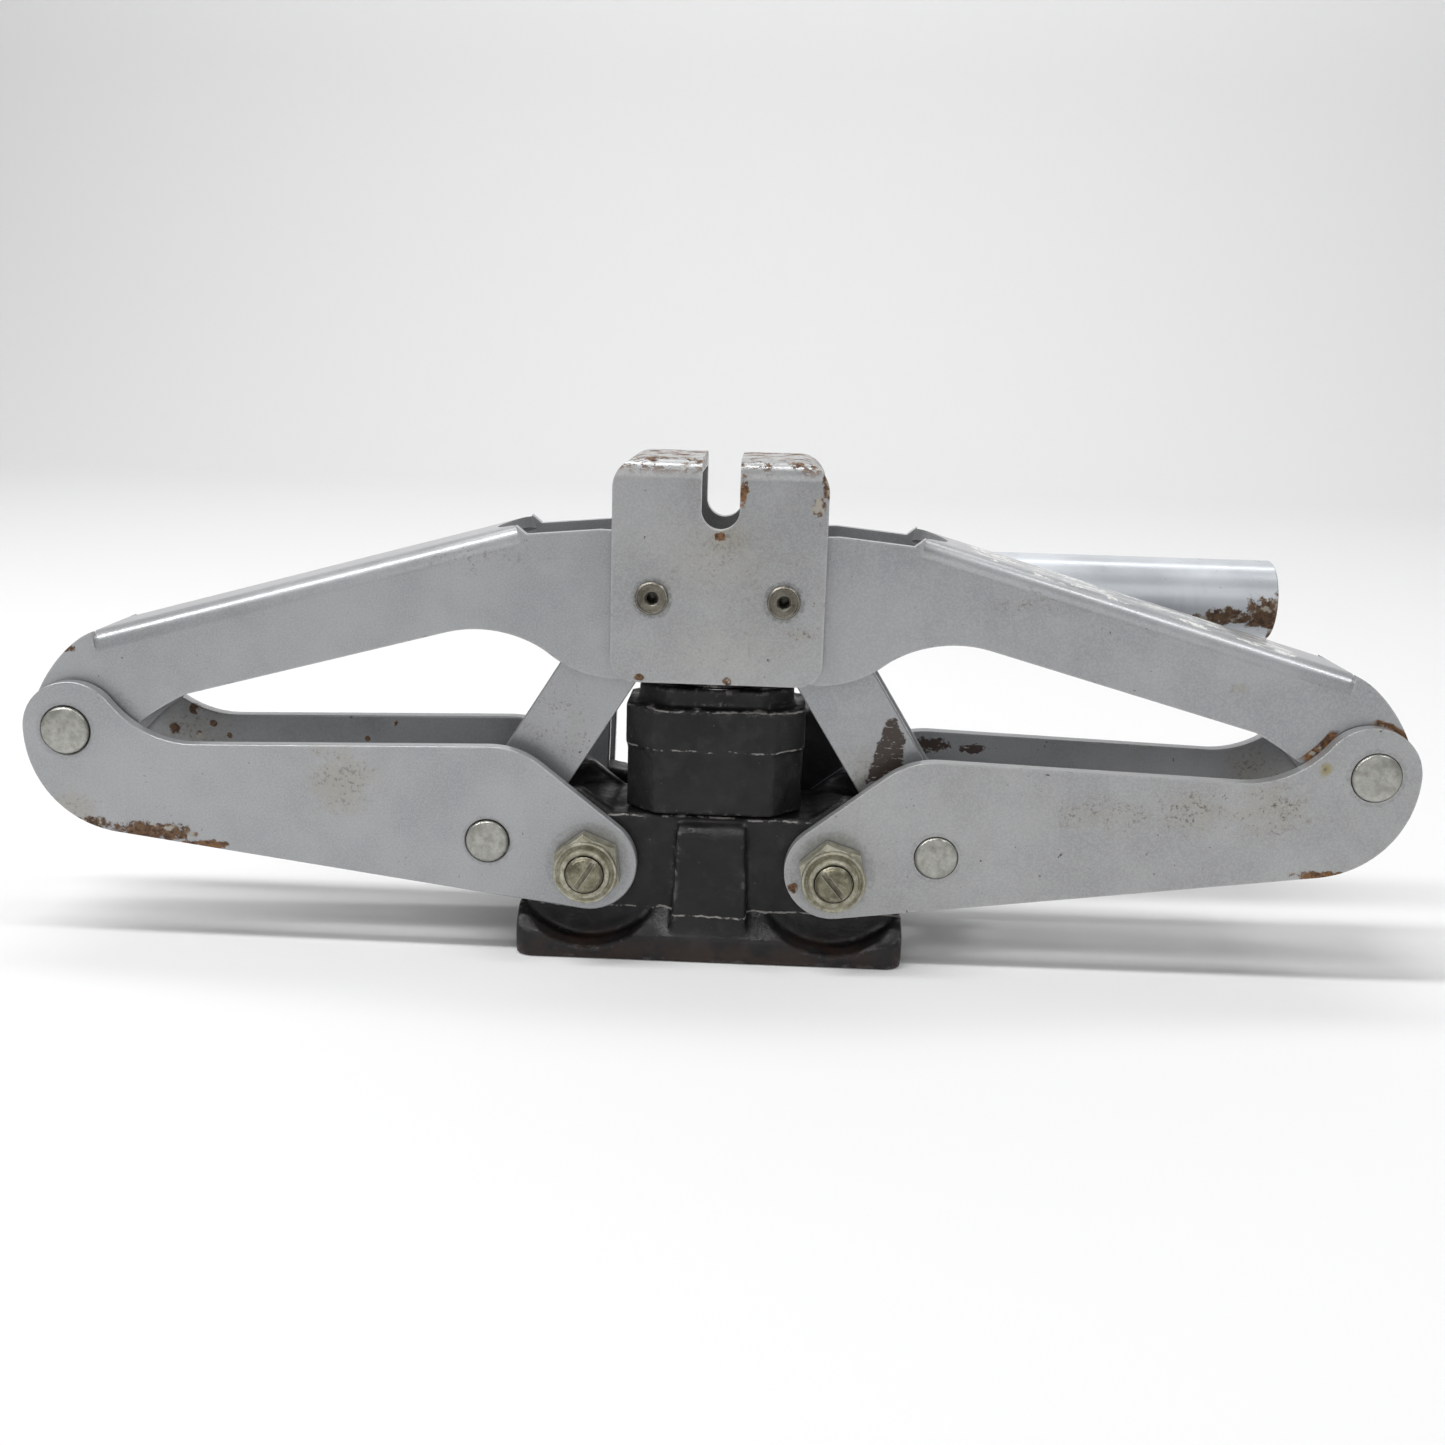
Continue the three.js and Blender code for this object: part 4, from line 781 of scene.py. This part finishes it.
def upper_arm(node, side, material):
    """A bent channel: its top follows the slope, and its two cheeks follow the outline."""
    outline = on_side(upper_arm_outline(), side)
    section = channel_section(CHANNEL_OUT, CHANNEL_WALL, BEND, 62)
    run = along_arm(prism("run", section, -0.3, WEB_LENGTH + 0.3, on_x), side)
    beam = combine(prism(node, outline, -CHANNEL_OUT, CHANNEL_OUT), [run], "INTERSECT")
    bite = rod(15, -14, 14, (-7, 0, 0), "z", 96)
    combine(beam, [along_arm(bite, side)])
    zone = along_arm(prism("zone", rounded_box(-60, 60, -124, 124, 1), 0, WEB_LENGTH, on_x), side)
    front = prism("front", outline, -CHANNEL_OUT, -CHANNEL_IN)
    rear = prism("rear", outline, CHANNEL_IN, CHANNEL_OUT)
    combine(front, [rear], "UNION")
    combine(front, [zone])
    combine(beam, [front], "UNION")
    saddle_bore = SADDLE_BORE if side < 0 else SADDLE_OPEN_BORE
    past_cheeks = 30
    bores = ((OUTER, OUTER_BORE), (SADDLE, saddle_bore))
    combine(beam, [bar(beside(p, side), r, -past_cheeks, past_cheeks) for p, r in bores])
    soften(beam, 0.7, 4)
    return stand_for(beam, node, material)


# ---- saddle
def saddle_piece(material):
    section = channel_section(ARM_OUT, SADDLE_WALL, BEND, SADDLE_TOP - SADDLE_BOTTOM + 5)
    body = prism("saddle", section, -SADDLE_HALF, SADDLE_HALF, lambda u, v, w: (w, u, v + SADDLE_TOP))
    face = rounded_box(-SADDLE_HALF, SADDLE_HALF, SADDLE_BOTTOM, SADDLE_TOP, 7, 8.5)
    combine(body, [prism("face", face, -THROUGH, THROUGH)], "INTERSECT")
    radius, slot_floor, above = 5.4, 126.4, 160
    slot = arc((0, slot_floor + radius), radius, 180, 360) + [xz(radius, above), xz(-radius, above)]
    tools = [prism("slot", slot, -THROUGH, THROUGH)]
    tools += [bar(beside(SADDLE, side), SADDLE_BORE, -THROUGH, THROUGH) for side in (1, -1)]
    combine(body, tools)
    soften(body, 0.8, 4)
    return stand_for(body, "saddle", material)


# ---- links, pins, rivets
def crowned_pin(node, centre, radius, half, material):
    """A pin with slightly domed ends and rounded rims."""
    rim = 0.9
    end = [(0, 0), (radius * 0.55, 0.05), (radius - rim, 0.25), (radius - rim * 0.35, 0.55), (radius, 1.1)]
    profile = [(r, -half + d) for r, d in end] + [(r, half - d) for r, d in reversed(end)]
    obj = turned(node, profile, at_y(centre), "y", 64)
    smooth(obj, 40)
    return stand_for(obj, node, material)


def hollow_rivet(node, side_x, side_y, material):
    """A tubular rivet with a rolled head outside the saddle."""
    outside = ARM_OUT + 0.2
    inside = CHANNEL_IN - 0.2
    bore, shank, head = 1.5, 3.2, 4.7
    profile = [(bore, inside - 0.8), (5.4, inside - 0.8), (5.6, inside), (shank, inside), (shank, outside)]
    profile += [(head - 0.2, outside), (head, outside + 0.4), (head, outside + 0.9)]
    profile += [(head - 0.35, outside + 1.25)]
    profile += [(head - 0.75, outside + 1.1), (head - 0.95, outside + 0.85), (2.9, outside + 0.9)]
    profile += [(2.5, outside + 1.1), (2.1, outside + 1.05), (bore, outside + 0.3)]
    if side_y < 0:
        profile = [(r, -a) for r, a in reversed(profile)]
    obj = turned(node, profile, at_y(beside(SADDLE, side_x)), "y", 48)
    smooth(obj, 35)
    return stand_for(obj, node, material)


# ---- bolts and nuts
def hexagon(centre, across_corners, turn=0.0):
    return [Vector(centre) + polar(across_corners, 60 * i + turn) for i in range(6)]


def nut(node, side, turn, material):
    """A hex nut with chamfered corners and a tall round collar whose rim is rolled outwards."""
    low, high = span(node, 1)
    centre = beside(BASE, side)
    axis = at_y(centre)
    face = high - 5.6
    bore = 5.6
    hexa = prism(node, hexagon(centre, HEX_CORNER, turn), face, high)
    trim = [(0, low), (8.7, face - 0.05), (10.6, face + 1.1), (10.7, high - 0.6)]
    trim += [(9.6, high + 0.01), (0, high + 0.01)]
    combine(hexa, [turned("trim", trim, axis, "y", 96)], "INTERSECT")
    rolled = [(0, 0.6), (5.4, 0.6), (5.75, 0.15), (6.4, 0), (7.1, 0.3), (7.25, 1.2), (7.5, 1.9), (8.1, 1.75)]
    rolled += [(8.6, 1.35), (9.1, 1.6), (9.3, 2.3), (9.1, 3.1), (8.7, 3.5)]
    collar = [(r, low + depth) for r, depth in rolled] + [(8.7, face + 0.4), (0, face + 0.4)]
    combine(hexa, [turned("collar", collar, axis, "y", 96)], "UNION")
    combine(hexa, [rod(bore, low - 2, high + 2, axis, "y", 72)])
    soften(hexa, 0.25, 2, 30)
    return stand_for(hexa, node, material)


def bolt(node, side, slot_turn, material):
    """A bolt with a hex head behind and a threaded, slotted end in front."""
    low, high = span(node, 1)
    centre = beside(BASE, side)
    pitch, root, crest, shank, thread_length = 1.25, 4.8, 5.4, 5.8, 12
    head_height, groove_half, groove_depth = 7.2, 0.75, 1.25
    profile = [(0, low), (3.4, low + 0.05), (4.4, low + 0.35), (4.9, low + 0.8), (5.05, low + 1.2)]
    place = low + 1.4
    while place < low + thread_length:
        profile += [(root, place), (crest, place + pitch * 0.5)]
        place += pitch
    profile += [(shank, place), (shank, high - 7.0), (0, high - 7.0)]
    body = turned(node, profile, at_y(centre), "y", 64)
    head = prism("head", hexagon(centre, HEX_CORNER, 30), high - head_height, high)
    trim = [(0, high - 8), (10.7, high - 8), (10.7, high - 1.0), (9.0, high), (0, high)]
    combine(head, [turned("trim", trim, at_y(centre), "y", 96)], "INTERSECT")
    combine(body, [head], "UNION")
    corners = [xz(x, z * groove_half) for x, z in ((-8, -1), (8, -1), (8, 1), (-8, 1))]
    groove = prism("groove", corners, low - 1, low + groove_depth)
    turn = Matrix.Rotation(math.radians(slot_turn), 4, "Y")
    groove.data.transform(Matrix.Translation(Vector(at_y(centre)) * MM) @ turn)
    combine(body, [groove])
    soften(body, 0.2, 2, 40)
    return stand_for(body, node, material)


# ---- castings
def remeshed(obj, size, rounds):
    """Turns joined blocks into one casting with soft inner and outer edges."""
    remesh = obj.modifiers.new("remesh", "REMESH")
    remesh.mode = "VOXEL"
    remesh.voxel_size = size * MM
    relax = obj.modifiers.new("relax", "SMOOTH")
    relax.iterations = rounds
    relax.factor = 0.5
    return evaluated(obj)


def blocks_joined(name, blocks):
    """Puts several closed meshes in one object, for a voxel remesh."""
    bm = bmesh.new()
    for block in blocks:
        bm.from_mesh(block.data)
        discard(block)
    mesh = bpy.data.meshes.new(name)
    bm.to_mesh(mesh)
    bm.free()
    return linked(name, mesh)


def base_casting(material):
    half, front_edge, height, lip, shoulder = 57.0, 27.0, 8.6, 7.2, 14.0
    block_y = ARM_IN - 0.6
    start, block_half, block_top, housing_top = 1, 34, 42, 64  # blocks start inside the flange
    lug_radius, ear_radius, ear_plate, scallop = 16, 22, 4.2, 23.8
    rib_foot, rib_top = 11.5, 9.8
    housing = (-29.0, 44.0, PUMP_Y - 13.5, PUMP_Y + 13.5)
    front = prism("front", rounded_box(-half, half, -front_edge, front_edge, 5), 0, shoulder, on_z)
    slopes = [Vector(p) for p in ((-front_edge, 0), (front_edge, 0), (front_edge, lip), (block_y, shoulder),
                                  (-block_y, shoulder), (-front_edge, lip))]
    combine(front, [prism("slopes", slopes, -half - 1, half + 1, on_x)], "INTERSECT")
    rear = prism("rear", rounded_box(-54, 50, 0, PUMP_Y + 16.5, 8), 0, height, on_z)
    flange = combine(front, [rear], "UNION")
    scallops = []
    for side in (1, -1):
        centre = beside(BASE, side)
        scallops.append(bar(centre, scallop, -60, -block_y, 96))
        scallops.append(bar(centre, scallop, block_y, ARM_OUT + 8.6, 96))
    combine(flange, scallops)
    block = rounded_box(-block_half, block_half, -block_y, block_y, 2.5)
    blocks = [flange, prism("block", block, start, block_top, on_z)]
    lug = arc(BASE, lug_radius, 0, 180)
    lug += [xz(BASE.x - lug_radius, start), xz(BASE.x + lug_radius, start)]
    ear = [xz(BASE.x - 10, start), xz(BASE.x + 10, start)]
    ear += arc(BASE, ear_radius, -55, 82) + [xz(BASE.x - 7, BASE.y + 14.2)]
    for side in (1, -1):
        blocks.append(prism("lug", on_side(lug, side), -block_y, block_y))
        blocks.append(prism("ear", on_side(ear, side), -block_y, -block_y + ear_plate))
        blocks.append(prism("ear", on_side(ear, side), block_y - ear_plate, block_y))
    foot, face = front_edge - 0.6, block_y + 6.6
    rib = [Vector(p) for p in ((-foot, start), (-foot, 4), (-face, 14), (-face + 0.6, 37.5),
                               (-face + 3, 39.8), (-block_y + 4, 41), (-block_y + 4, start))]
    rib = prism("rib", rib, -rib_foot, rib_foot, on_x)
    taper = [Vector(p) for p in ((-rib_foot, 0), (rib_foot, 0), (rib_top, block_top), (-rib_top, block_top))]
    blocks.append(combine(rib, [prism("taper", taper, -60, 0)], "INTERSECT"))
    blocks.append(prism("housing", rounded_box(*housing, 6), start, housing_top, on_z))
    blocks.append(prism("neck", rounded_box(-18, 18, 0, PUMP_Y - 7.5, 2), start, block_top, on_z))
    lug = [xz(-23, start), xz(-23, FULCRUM.y + 4), xz(FULCRUM.x, FULCRUM.y + 8)]
    lug += arc(FULCRUM, 8, 90, 180) + [xz(FULCRUM.x - 8, start)]
    blocks.append(prism("fulcrum", lug, PUMP_Y - 6, PUMP_Y + 6))
    body = remeshed(blocks_joined("base_casting", blocks), 0.65, 16)
    tools = [bar(beside(BASE, side), BASE_BORE, -block_y - 5, block_y + 5) for side in (1, -1)]
    tools.append(rod(CYLINDER_BORE, 11, 60, (0, 0, 0), "z"))
    tools.append(rod(8.8, 22, 80, (PLUNGER.x, PUMP_Y, 0), "z"))  # for the pump's barrel
    tools.append(rod(4.8, 28, 60, (0, PUMP_Y, 24), "x"))  # for the release screw
    tools.append(rod(FULCRUM_BORE, -9, 9, at_y(FULCRUM, PUMP_Y), "y"))
    combine(body, tools)
    smooth(body, 42)
    return stand_for(body, "base_casting", material)


def facetted(x, y):
    """A rectangle with slanted corners."""
    a, b = x - 9.0, y - 8.4
    return [Vector(p) for p in ((x, -b), (x, b), (a, y), (-a, y), (-x, b), (-x, -b), (-a, -y), (a, -y))]


def reservoir(material):
    """Three stepped layers: half width, half depth, bottom and top of each."""
    layers = [(25.9, 17.9, 42.3, 62.2), (26.4, 18.4, 61.6, 74.0), (22.8, 14.8, 73.2, 79.5)]
    blocks = [prism("layer", facetted(x, y), low, high, on_z) for x, y, low, high in layers]
    body = remeshed(blocks_joined("reservoir_shell", blocks), 0.6, 10)
    plug_bore = 3.3
    combine(body, [rod(CYLINDER_BORE, 30, 90, (0, 0, 0), "z"), rod(plug_bore, 14.4, 25, (14, 0, 68), "y")])
    smooth(body, 42)
    return stand_for(body, "reservoir_shell", material)


# ---- pump side
def socket_tube(material):
    low, high = span("handle_socket", 0)
    z = middle("handle_socket", 2)
    outer, inner = 12.7, 10.7
    lip = 0.45
    profile = [(inner, low + lip), (inner + lip, low), (outer - lip, low), (outer, low + lip)]
    steps = [(high - low) * i / 12 for i in range(1, 12)]
    profile += [(outer, low + step) for step in steps]
    profile += [(outer, high - lip), (outer - lip, high), (inner + lip, high), (inner, high - lip)]
    profile += [(inner, high - step) for step in steps]
    obj = turned("handle_socket", profile, (0, PUMP_Y, z), "x", 80)
    smooth(obj, 40)
    return stand_for(obj, "handle_socket", material)


# ---- finishes of the pieces
ARM_FRONT = -ARM_OUT
HEAD = OUTER - xz(1.6, 0)
NECK = xz(HEAD.x - 35.4, OUTER.y + 27.1)


def patch(at, size, ragged=0.5, grain=2.5, **more):
    """A worn patch round a place, with a size along each axis."""
    return {"kind": "patch", "at": at, "size": size, "ragged": ragged, "grain": grain, **more}


def on_arm(x, z, size, **more):
    """A patch on the front of the lower arms or the saddle."""
    return patch((x, ARM_FRONT, z), size, **more)


def stain(at, size, ragged, grain, haze, spots, **more):
    """A stained patch: haze is its share between its spots, and spots their share."""
    return patch(at, size, ragged, grain, haze=haze, spots=spots, **more)


def ring(centre, inner, outer, at, size, **more):
    """A worn ring round an axis along Y, limited to a patch."""
    return {"kind": "ring", "centre": centre, "inner": inner, "outer": outer, "at": at, "size": size, **more}


def halo(centre, radius, amount=0.25):
    """Dirt round a nut or pin."""
    return ring(centre, 0.0, radius, at_y(centre, ARM_FRONT), (30, 30, 30), amount=amount)


def spots(places, y):
    """Round rust spots at places in X and Z, each with its radius."""
    return [patch((x, y, z), (r, 2.5, r), 0.3, 1.5, orange=0.1) for x, z, r in places]


PAINT = {
    "lower_arm_front_left": silver_paint(
        "silver_lower_front_left", seed=1.0,
        rust=[
            on_arm(-184, 34.0, (7, 4, 2.4), grain=2.0, orange=0.0),
            on_arm(-165, 32.3, (13, 4, 3.0), grain=2.0, orange=0.2),
            on_arm(-149, 28.6, (7, 4, 1.8), grain=2.0, orange=0.5),
        ],
        stains=[
            stain((-108, ARM_FRONT, 50), (9, 9, 9), 0.6, 5.0, 0.36, 0.55),
            stain((-188, ARM_FRONT, 39), (6, 6, 5), 0.5, 4.0, 0.30, 0.40),
        ],
        dirt=[halo(beside(BASE, -1), 12.5), halo(beside(LINK, -1), 7.6), halo(beside(OUTER, -1), 8.6)],
    ),
    "lower_arm_front_right": silver_paint(
        "silver_lower_front_right", seed=2.0, tone=WARM, specks=0.8,
        rust=[
            on_arm(178, 32.4, (10, 4, 1.5), grain=2.0, orange=0.6),
            on_arm(24.5, 22.5, (1.7, 4, 1.7), ragged=0.3, grain=1.5, orange=0.3),
        ],
        stains=[
            stain((112, ARM_FRONT, 48), (14, 9, 5), 0.7, 5.0, 0.12, 0.70),
            stain((138, ARM_FRONT, 50), (9, 9, 6), 0.7, 5.0, 0.18, 0.75),
            stain((160, ARM_FRONT, 52), (10, 9, 7), 0.7, 5.0, 0.24, 0.80),
            stain((174.5, ARM_FRONT, 64.2), (1.7, 4, 1.9), 0.15, 2.0, 0.8, 0.8,
                  tint=(0.30, 0.24, 0.06)),
        ],
        dirt=[halo(BASE, 12.5), halo(LINK, 7.6), halo(OUTER, 8.6)],
    ),
    "lower_arm_rear_left": silver_paint(
        "silver_lower_rear_left", seed=3.0, specks=0.9,
        rust=spots([(-171.9, 54.0, 2.0), (-165.4, 60.6, 1.875), (-164.1, 52.4, 1.125), (-159.5, 56.0, 1.25),
                    (-110.6, 52.9, 1.0), (-101.7, 58.4, 1.125), (-154.4, 52.4, 1.0)], ARM_IN),
        stains=[stain((-165, ARM_IN, 55), (12, 5, 7), 0.6, 4.0, 0.25, 0.5)],
    ),
    "lower_arm_rear_right": silver_paint(
        "silver_lower_rear_right", seed=4.0,
        bare=[
            patch((66, ARM_IN, 57.5), (6, 4, 2.6), grain=2.0),
            patch((79, ARM_IN, 56.6), (5, 4, 1.6), grain=2.0),
        ],
        stains=[stain((167, ARM_IN, 54), (9, 5, 7), 0.6, 4.0, 0.25, 0.6)],
    ),
    "upper_arm_left": silver_paint(
        "silver_upper_left", seed=5.0,
        rust=[patch((-190.5, -CHANNEL_OUT, 85.5), (4.0, 30, 1.2), grain=1.6, orange=0.0)],
        stains=[stain((-72, -CHANNEL_OUT, 116), (18, 9, 5), 0.6, 6.0, 0.03, 0.35)],
        dirt=[patch((-176, -CHANNEL_OUT, 69), (6, 6, 4), amount=0.25)],
    ),
    "upper_arm_right": silver_paint(
        "silver_upper_right", seed=6.0, specks=0.4,
        rust=[
            ring(NECK, 28.2, 30.6, (176, -CHANNEL_OUT, 68.5), (9, 6, 6), orange=0.9),
            ring(HEAD, 14.0, 15.9, (195, -CHANNEL_OUT, 76), (8, 6, 6), orange=0.6),
        ],
        stains=[
            stain((88, -CHANNEL_OUT, 108), (8, 6, 4), 0.7, 3.0, 0.05, 0.55),
            stain((149, -CHANNEL_OUT, 86), (2.6, 6, 1.6), 0.5, 2.0, 0.3, 0.7),
        ],
        film=((WEB_IN.x, WEB_IN.y), SLOPE, 14.0, 112.0),
    ),
    "saddle": silver_paint(
        "silver_saddle", seed=7.0, tone=WARM, worn_top=SADDLE_TOP, specks=0.95,
        rust=[
            on_arm(0.2, 124.8, (1.9, 4, 1.4), ragged=0.4, grain=1.5, orange=0.5),
            on_arm(-21.8, 84.0, (1.6, 4, 1.2), ragged=0.3, grain=1.5, orange=0.3),
            on_arm(3.3, 83.6, (1.4, 4, 1.2), ragged=0.3, grain=1.5, orange=0.3),
            on_arm(27.5, 133.5, (1.8, 4, 2.8), ragged=0.6, grain=1.8, orange=0.1),
            on_arm(29.8, 139.5, (1.6, 6, 4.5), ragged=0.6, grain=1.8, orange=0.2),
            on_arm(6.3, 137.5, (1.5, 6, 4.0), ragged=0.6, grain=1.8, orange=0.7),
        ],
        stains=[
            stain((0, ARM_FRONT, 118), (17, 6, 11), 0.6, 7.0, 0.14, 0.30),
            stain((2, ARM_FRONT, 124), (5.5, 6, 4), 0.5, 3.0, 0.30, 0.45),
            stain((4, ARM_FRONT, 92), (18, 6, 8), 0.6, 7.0, 0.16, 0.10, tint=(0.56, 0.54, 0.46)),
            stain((24.0, ARM_FRONT, 97.8), (4.2, 6, 1.6), 0.9, 1.8, 0.15, 0.8),
        ],
        dirt=[halo(SADDLE, 5.9, 0.5), halo(beside(SADDLE, -1), 5.9, 0.5)],
    ),
    "link_front_right": silver_paint(
        "silver_link_front_right", seed=8.0,
        bare=[
            {"kind": "polygon", "ragged": 0.9, "grain": 2.4,
             "corners": [(43.9, 51.5), (55.7, 57.5), (55.6, 66.0), (52.4, 72.5), (50.0, 72.5),
                         (47.8, 64.5)]},
        ],
        stains=[stain((45, -LINK_OUT, 55), (7, 5, 8), 0.6, 4.0, 0.25, 0.45)],
    ),
    "links": silver_paint(
        "silver_links", seed=9.0, specks=0.9,
        stains=[stain((-46, -LINK_OUT, 66), (9, 5, 13), 0.7, 4.0, 0.04, 0.45)],
    ),
    # painted light: the socket's paint gets a much lighter, bluer tone than the same paint elsewhere,
    # standing in for the stronger light on it
    "socket": silver_paint(
        "silver_socket", seed=10.0, tone=(1.58, 1.62, 1.66),
        rust=[
            patch((170, PUMP_Y - 10, 99.5), (6.5, 9, 6.0), ragged=0.7, grain=3.0, orange=0.1),
            patch((158, PUMP_Y - 10, 98.5), (6.5, 9, 3.0), ragged=0.7, grain=3.0, orange=0.1),
            patch((149, PUMP_Y - 10, 97.0), (4.0, 9, 2.2), ragged=0.7, grain=2.0, orange=0.1),
            patch((174, PUMP_Y - 10, 96), (2.2, 9, 8.0), ragged=0.5, grain=2.0, orange=0.3),
        ],
    ),
    "bracket": silver_paint("silver_bracket", seed=11.0),
}
CAST = black_paint("black_casting", seed=1.0, tint_below=9.0, ledges=(41.4, 13.4), ledges_before=0.0)
TANK = black_paint("black_tank", seed=2.0, ledges=(61.6, 73.6))
FITTING = black_paint("black_fitting", seed=3.0)
ZINC_NUT = zinc("zinc_nut", light=(0.50, 0.485, 0.39), dark=(0.25, 0.235, 0.165), amount=0.5, seed=1.0)
ZINC_BOLT = zinc("zinc_bolt", light=(0.27, 0.255, 0.18), dark=(0.11, 0.10, 0.065),
                 stain=(0.40, 0.39, 0.30), seed=2.0)
ZINC_PIN = zinc("zinc_pin", light=(0.46, 0.46, 0.43), dark=(0.31, 0.31, 0.28), amount=0.25, seed=3.0)
RIVET = zinc("rivet_brown", light=(0.20, 0.185, 0.15), dark=(0.10, 0.09, 0.07),
             stain=(0.07, 0.055, 0.04), seed=4.0)
STEEL = bright_steel("bright_ram")
SEAL = rubber("seal_black")


# ---- making the pieces
ROWS = (("front", -1), ("rear", 1))


def across(inner, outer, row_side):
    """A plate's lowest and highest Y, in the front row (-1) or the rear row (1)."""
    return (inner, outer) if row_side > 0 else (-outer, -inner)


for letter, side, nut_turn, slot_turn in (("left", -1, 37, -58), ("right", 1, 42, 50)):
    cross, link = beside(CROSS, side), beside(LINK, side)
    link_shape = capsule(cross, link, LINK_HALF_WIDTH)
    for row, row_side in ROWS:
        node = f"lower_arm_{row}_{letter}"
        lower_arm(node, side, *across(ARM_IN, ARM_OUT, row_side), PAINT[node])
        node = f"link_{row}_{letter}"
        plate(node, link_shape, *across(LINK_IN, LINK_OUT, row_side),
              [(cross, CROSS_BORE), (link, LINK_OPEN_BORE)], PAINT.get(node, PAINT["links"]))
        hollow_rivet(f"saddle_rivet_{row}_{letter}", side, row_side, RIVET)
    upper_arm(f"upper_arm_{letter}", side, PAINT[f"upper_arm_{letter}"])
    crowned_pin(f"outer_pin_{letter}", beside(OUTER, side), OUTER_PIN, ARM_OUT + PIN_PROUD, ZINC_PIN)
    crowned_pin(f"link_pin_{letter}", link, LINK_PIN, ARM_OUT + PIN_PROUD, ZINC_PIN)
    crowned_pin(f"crosshead_pin_{letter}", cross, CROSS_PIN, LINK_OUT + 0.5, ZINC_PIN)
    nut(f"pivot_nut_{letter}", side, nut_turn, ZINC_NUT)
    bolt(f"pivot_bolt_{letter}", side, slot_turn, ZINC_BOLT)
saddle_piece(PAINT["saddle"])
base_casting(CAST)
reservoir(TANK)
socket_tube(PAINT["socket"])
for node in ("fulcrum_link_front", "fulcrum_link_rear"):
    plate(node, capsule(FULCRUM, LEVER_TOP, FULCRUM_LINK_HALF_WIDTH), *span(node, 1),
          [(FULCRUM, FULCRUM_BORE), (LEVER_TOP, FULCRUM_OPEN_BORE)], PAINT["bracket"])

# Pieces that keep the CAD mesh
KEPT = (
    (FITTING, "crosshead gland_nut"),
    (SEAL, "filler_plug wiper_seal piston_seal pump_seal"),
    (STEEL, "ram cylinder_tube pump_plunger"),
    (ZINC_PIN, "pump_barrel plunger_pin fulcrum_pin_upper fulcrum_pin_lower"),
    (ZINC_NUT, "release_screw"),
    (PAINT["bracket"], "lever_bracket"),
)
for material, nodes in KEPT:
    for node in nodes.split():
        obj = bpy.data.objects[node]
        for material_slot in obj.material_slots:
            material_slot.material = material
        add_bevel(obj, 0.35, 2, 32).harden_normals = True


# ---- floor, light and camera
def floor():
    """A floor that bends up into a wall. Lengths are in metres here, and for the lights and the camera."""
    bm = bmesh.new()
    half_width, near, bend_y, bend, top = 3.5, -2.5, 1.6, 0.6, 3.2
    path = [(near, 0.0)]
    for i in range(25):
        angle = math.radians(90 * i / 24)
        path.append((bend_y + bend * math.sin(angle), bend - bend * math.cos(angle)))
    path.append((2.2, top))
    rows = [[bm.verts.new((x, y, z)) for x in (-half_width, half_width)] for y, z in path]
    for a, b in zip(rows, rows[1:]):
        bm.faces.new((a[0], a[1], b[1], b[0]))
    obj = new_object("floor", bm)
    smooth(obj, 60)
    g = Nodes("floor_paper")
    g.shader.inputs["Specular IOR Level"].default_value = 0.2
    obj.data.materials.append(g.done((0.80, 0.80, 0.80), 0.75, 0.0))


def area_light(name, place, aim, size, power):
    light = bpy.data.lights.new(name, "AREA")
    light.shape = "RECTANGLE"
    light.size, light.size_y = size
    light.energy = power
    obj = linked(name, light)
    obj.location = place
    obj.rotation_euler = (Vector(aim) - Vector(place)).to_track_quat("-Z", "Y").to_euler()


def camera():
    data = bpy.data.cameras.new("camera")
    data.sensor_width = 36.0
    data.lens = 39.86
    data.clip_start = 0.01
    obj = linked("camera", data)
    pitch, yaw, roll = (math.radians(a) for a in (-13.116, 1.657, -1.69))
    turn = (Matrix.Rotation(yaw, 4, "Z") @ Matrix.Rotation(pitch, 4, "X") @ Matrix.Rotation(roll, 4, "Y")
            @ Matrix.Rotation(math.pi / 2, 4, "X"))
    obj.matrix_world = Matrix.Translation((0.01526, -0.46816, 0.17558)) @ turn
    bpy.context.scene.camera = obj


floor()
area_light("overhead", (-0.62, -0.14, 1.28), (-0.10, -0.14, 0.08), (0.15, 1.5), 14.0)
area_light("front", (0.1, -1.9, 1.0), (0, 0, 0.06), (2.0, 1.2), 7.5)
area_light("right", (0.95, -0.15, 1.28), (0.10, -0.15, 0.08), (0.18, 0.6), 4.0)
area_light("wall", (0.0, 0.9, 2.2), (0, 2.1, 0.7), (2.4, 0.8), 29.0)
camera()
world = bpy.data.worlds.new("studio")
world.use_nodes = True
bpy.context.scene.world = world
background = world.node_tree.nodes["Background"]
background.inputs["Color"].default_value = (0.98, 0.99, 1.0, 1.0)
background.inputs["Strength"].default_value = 0.33
bpy.context.scene.view_settings.view_transform = "Standard"
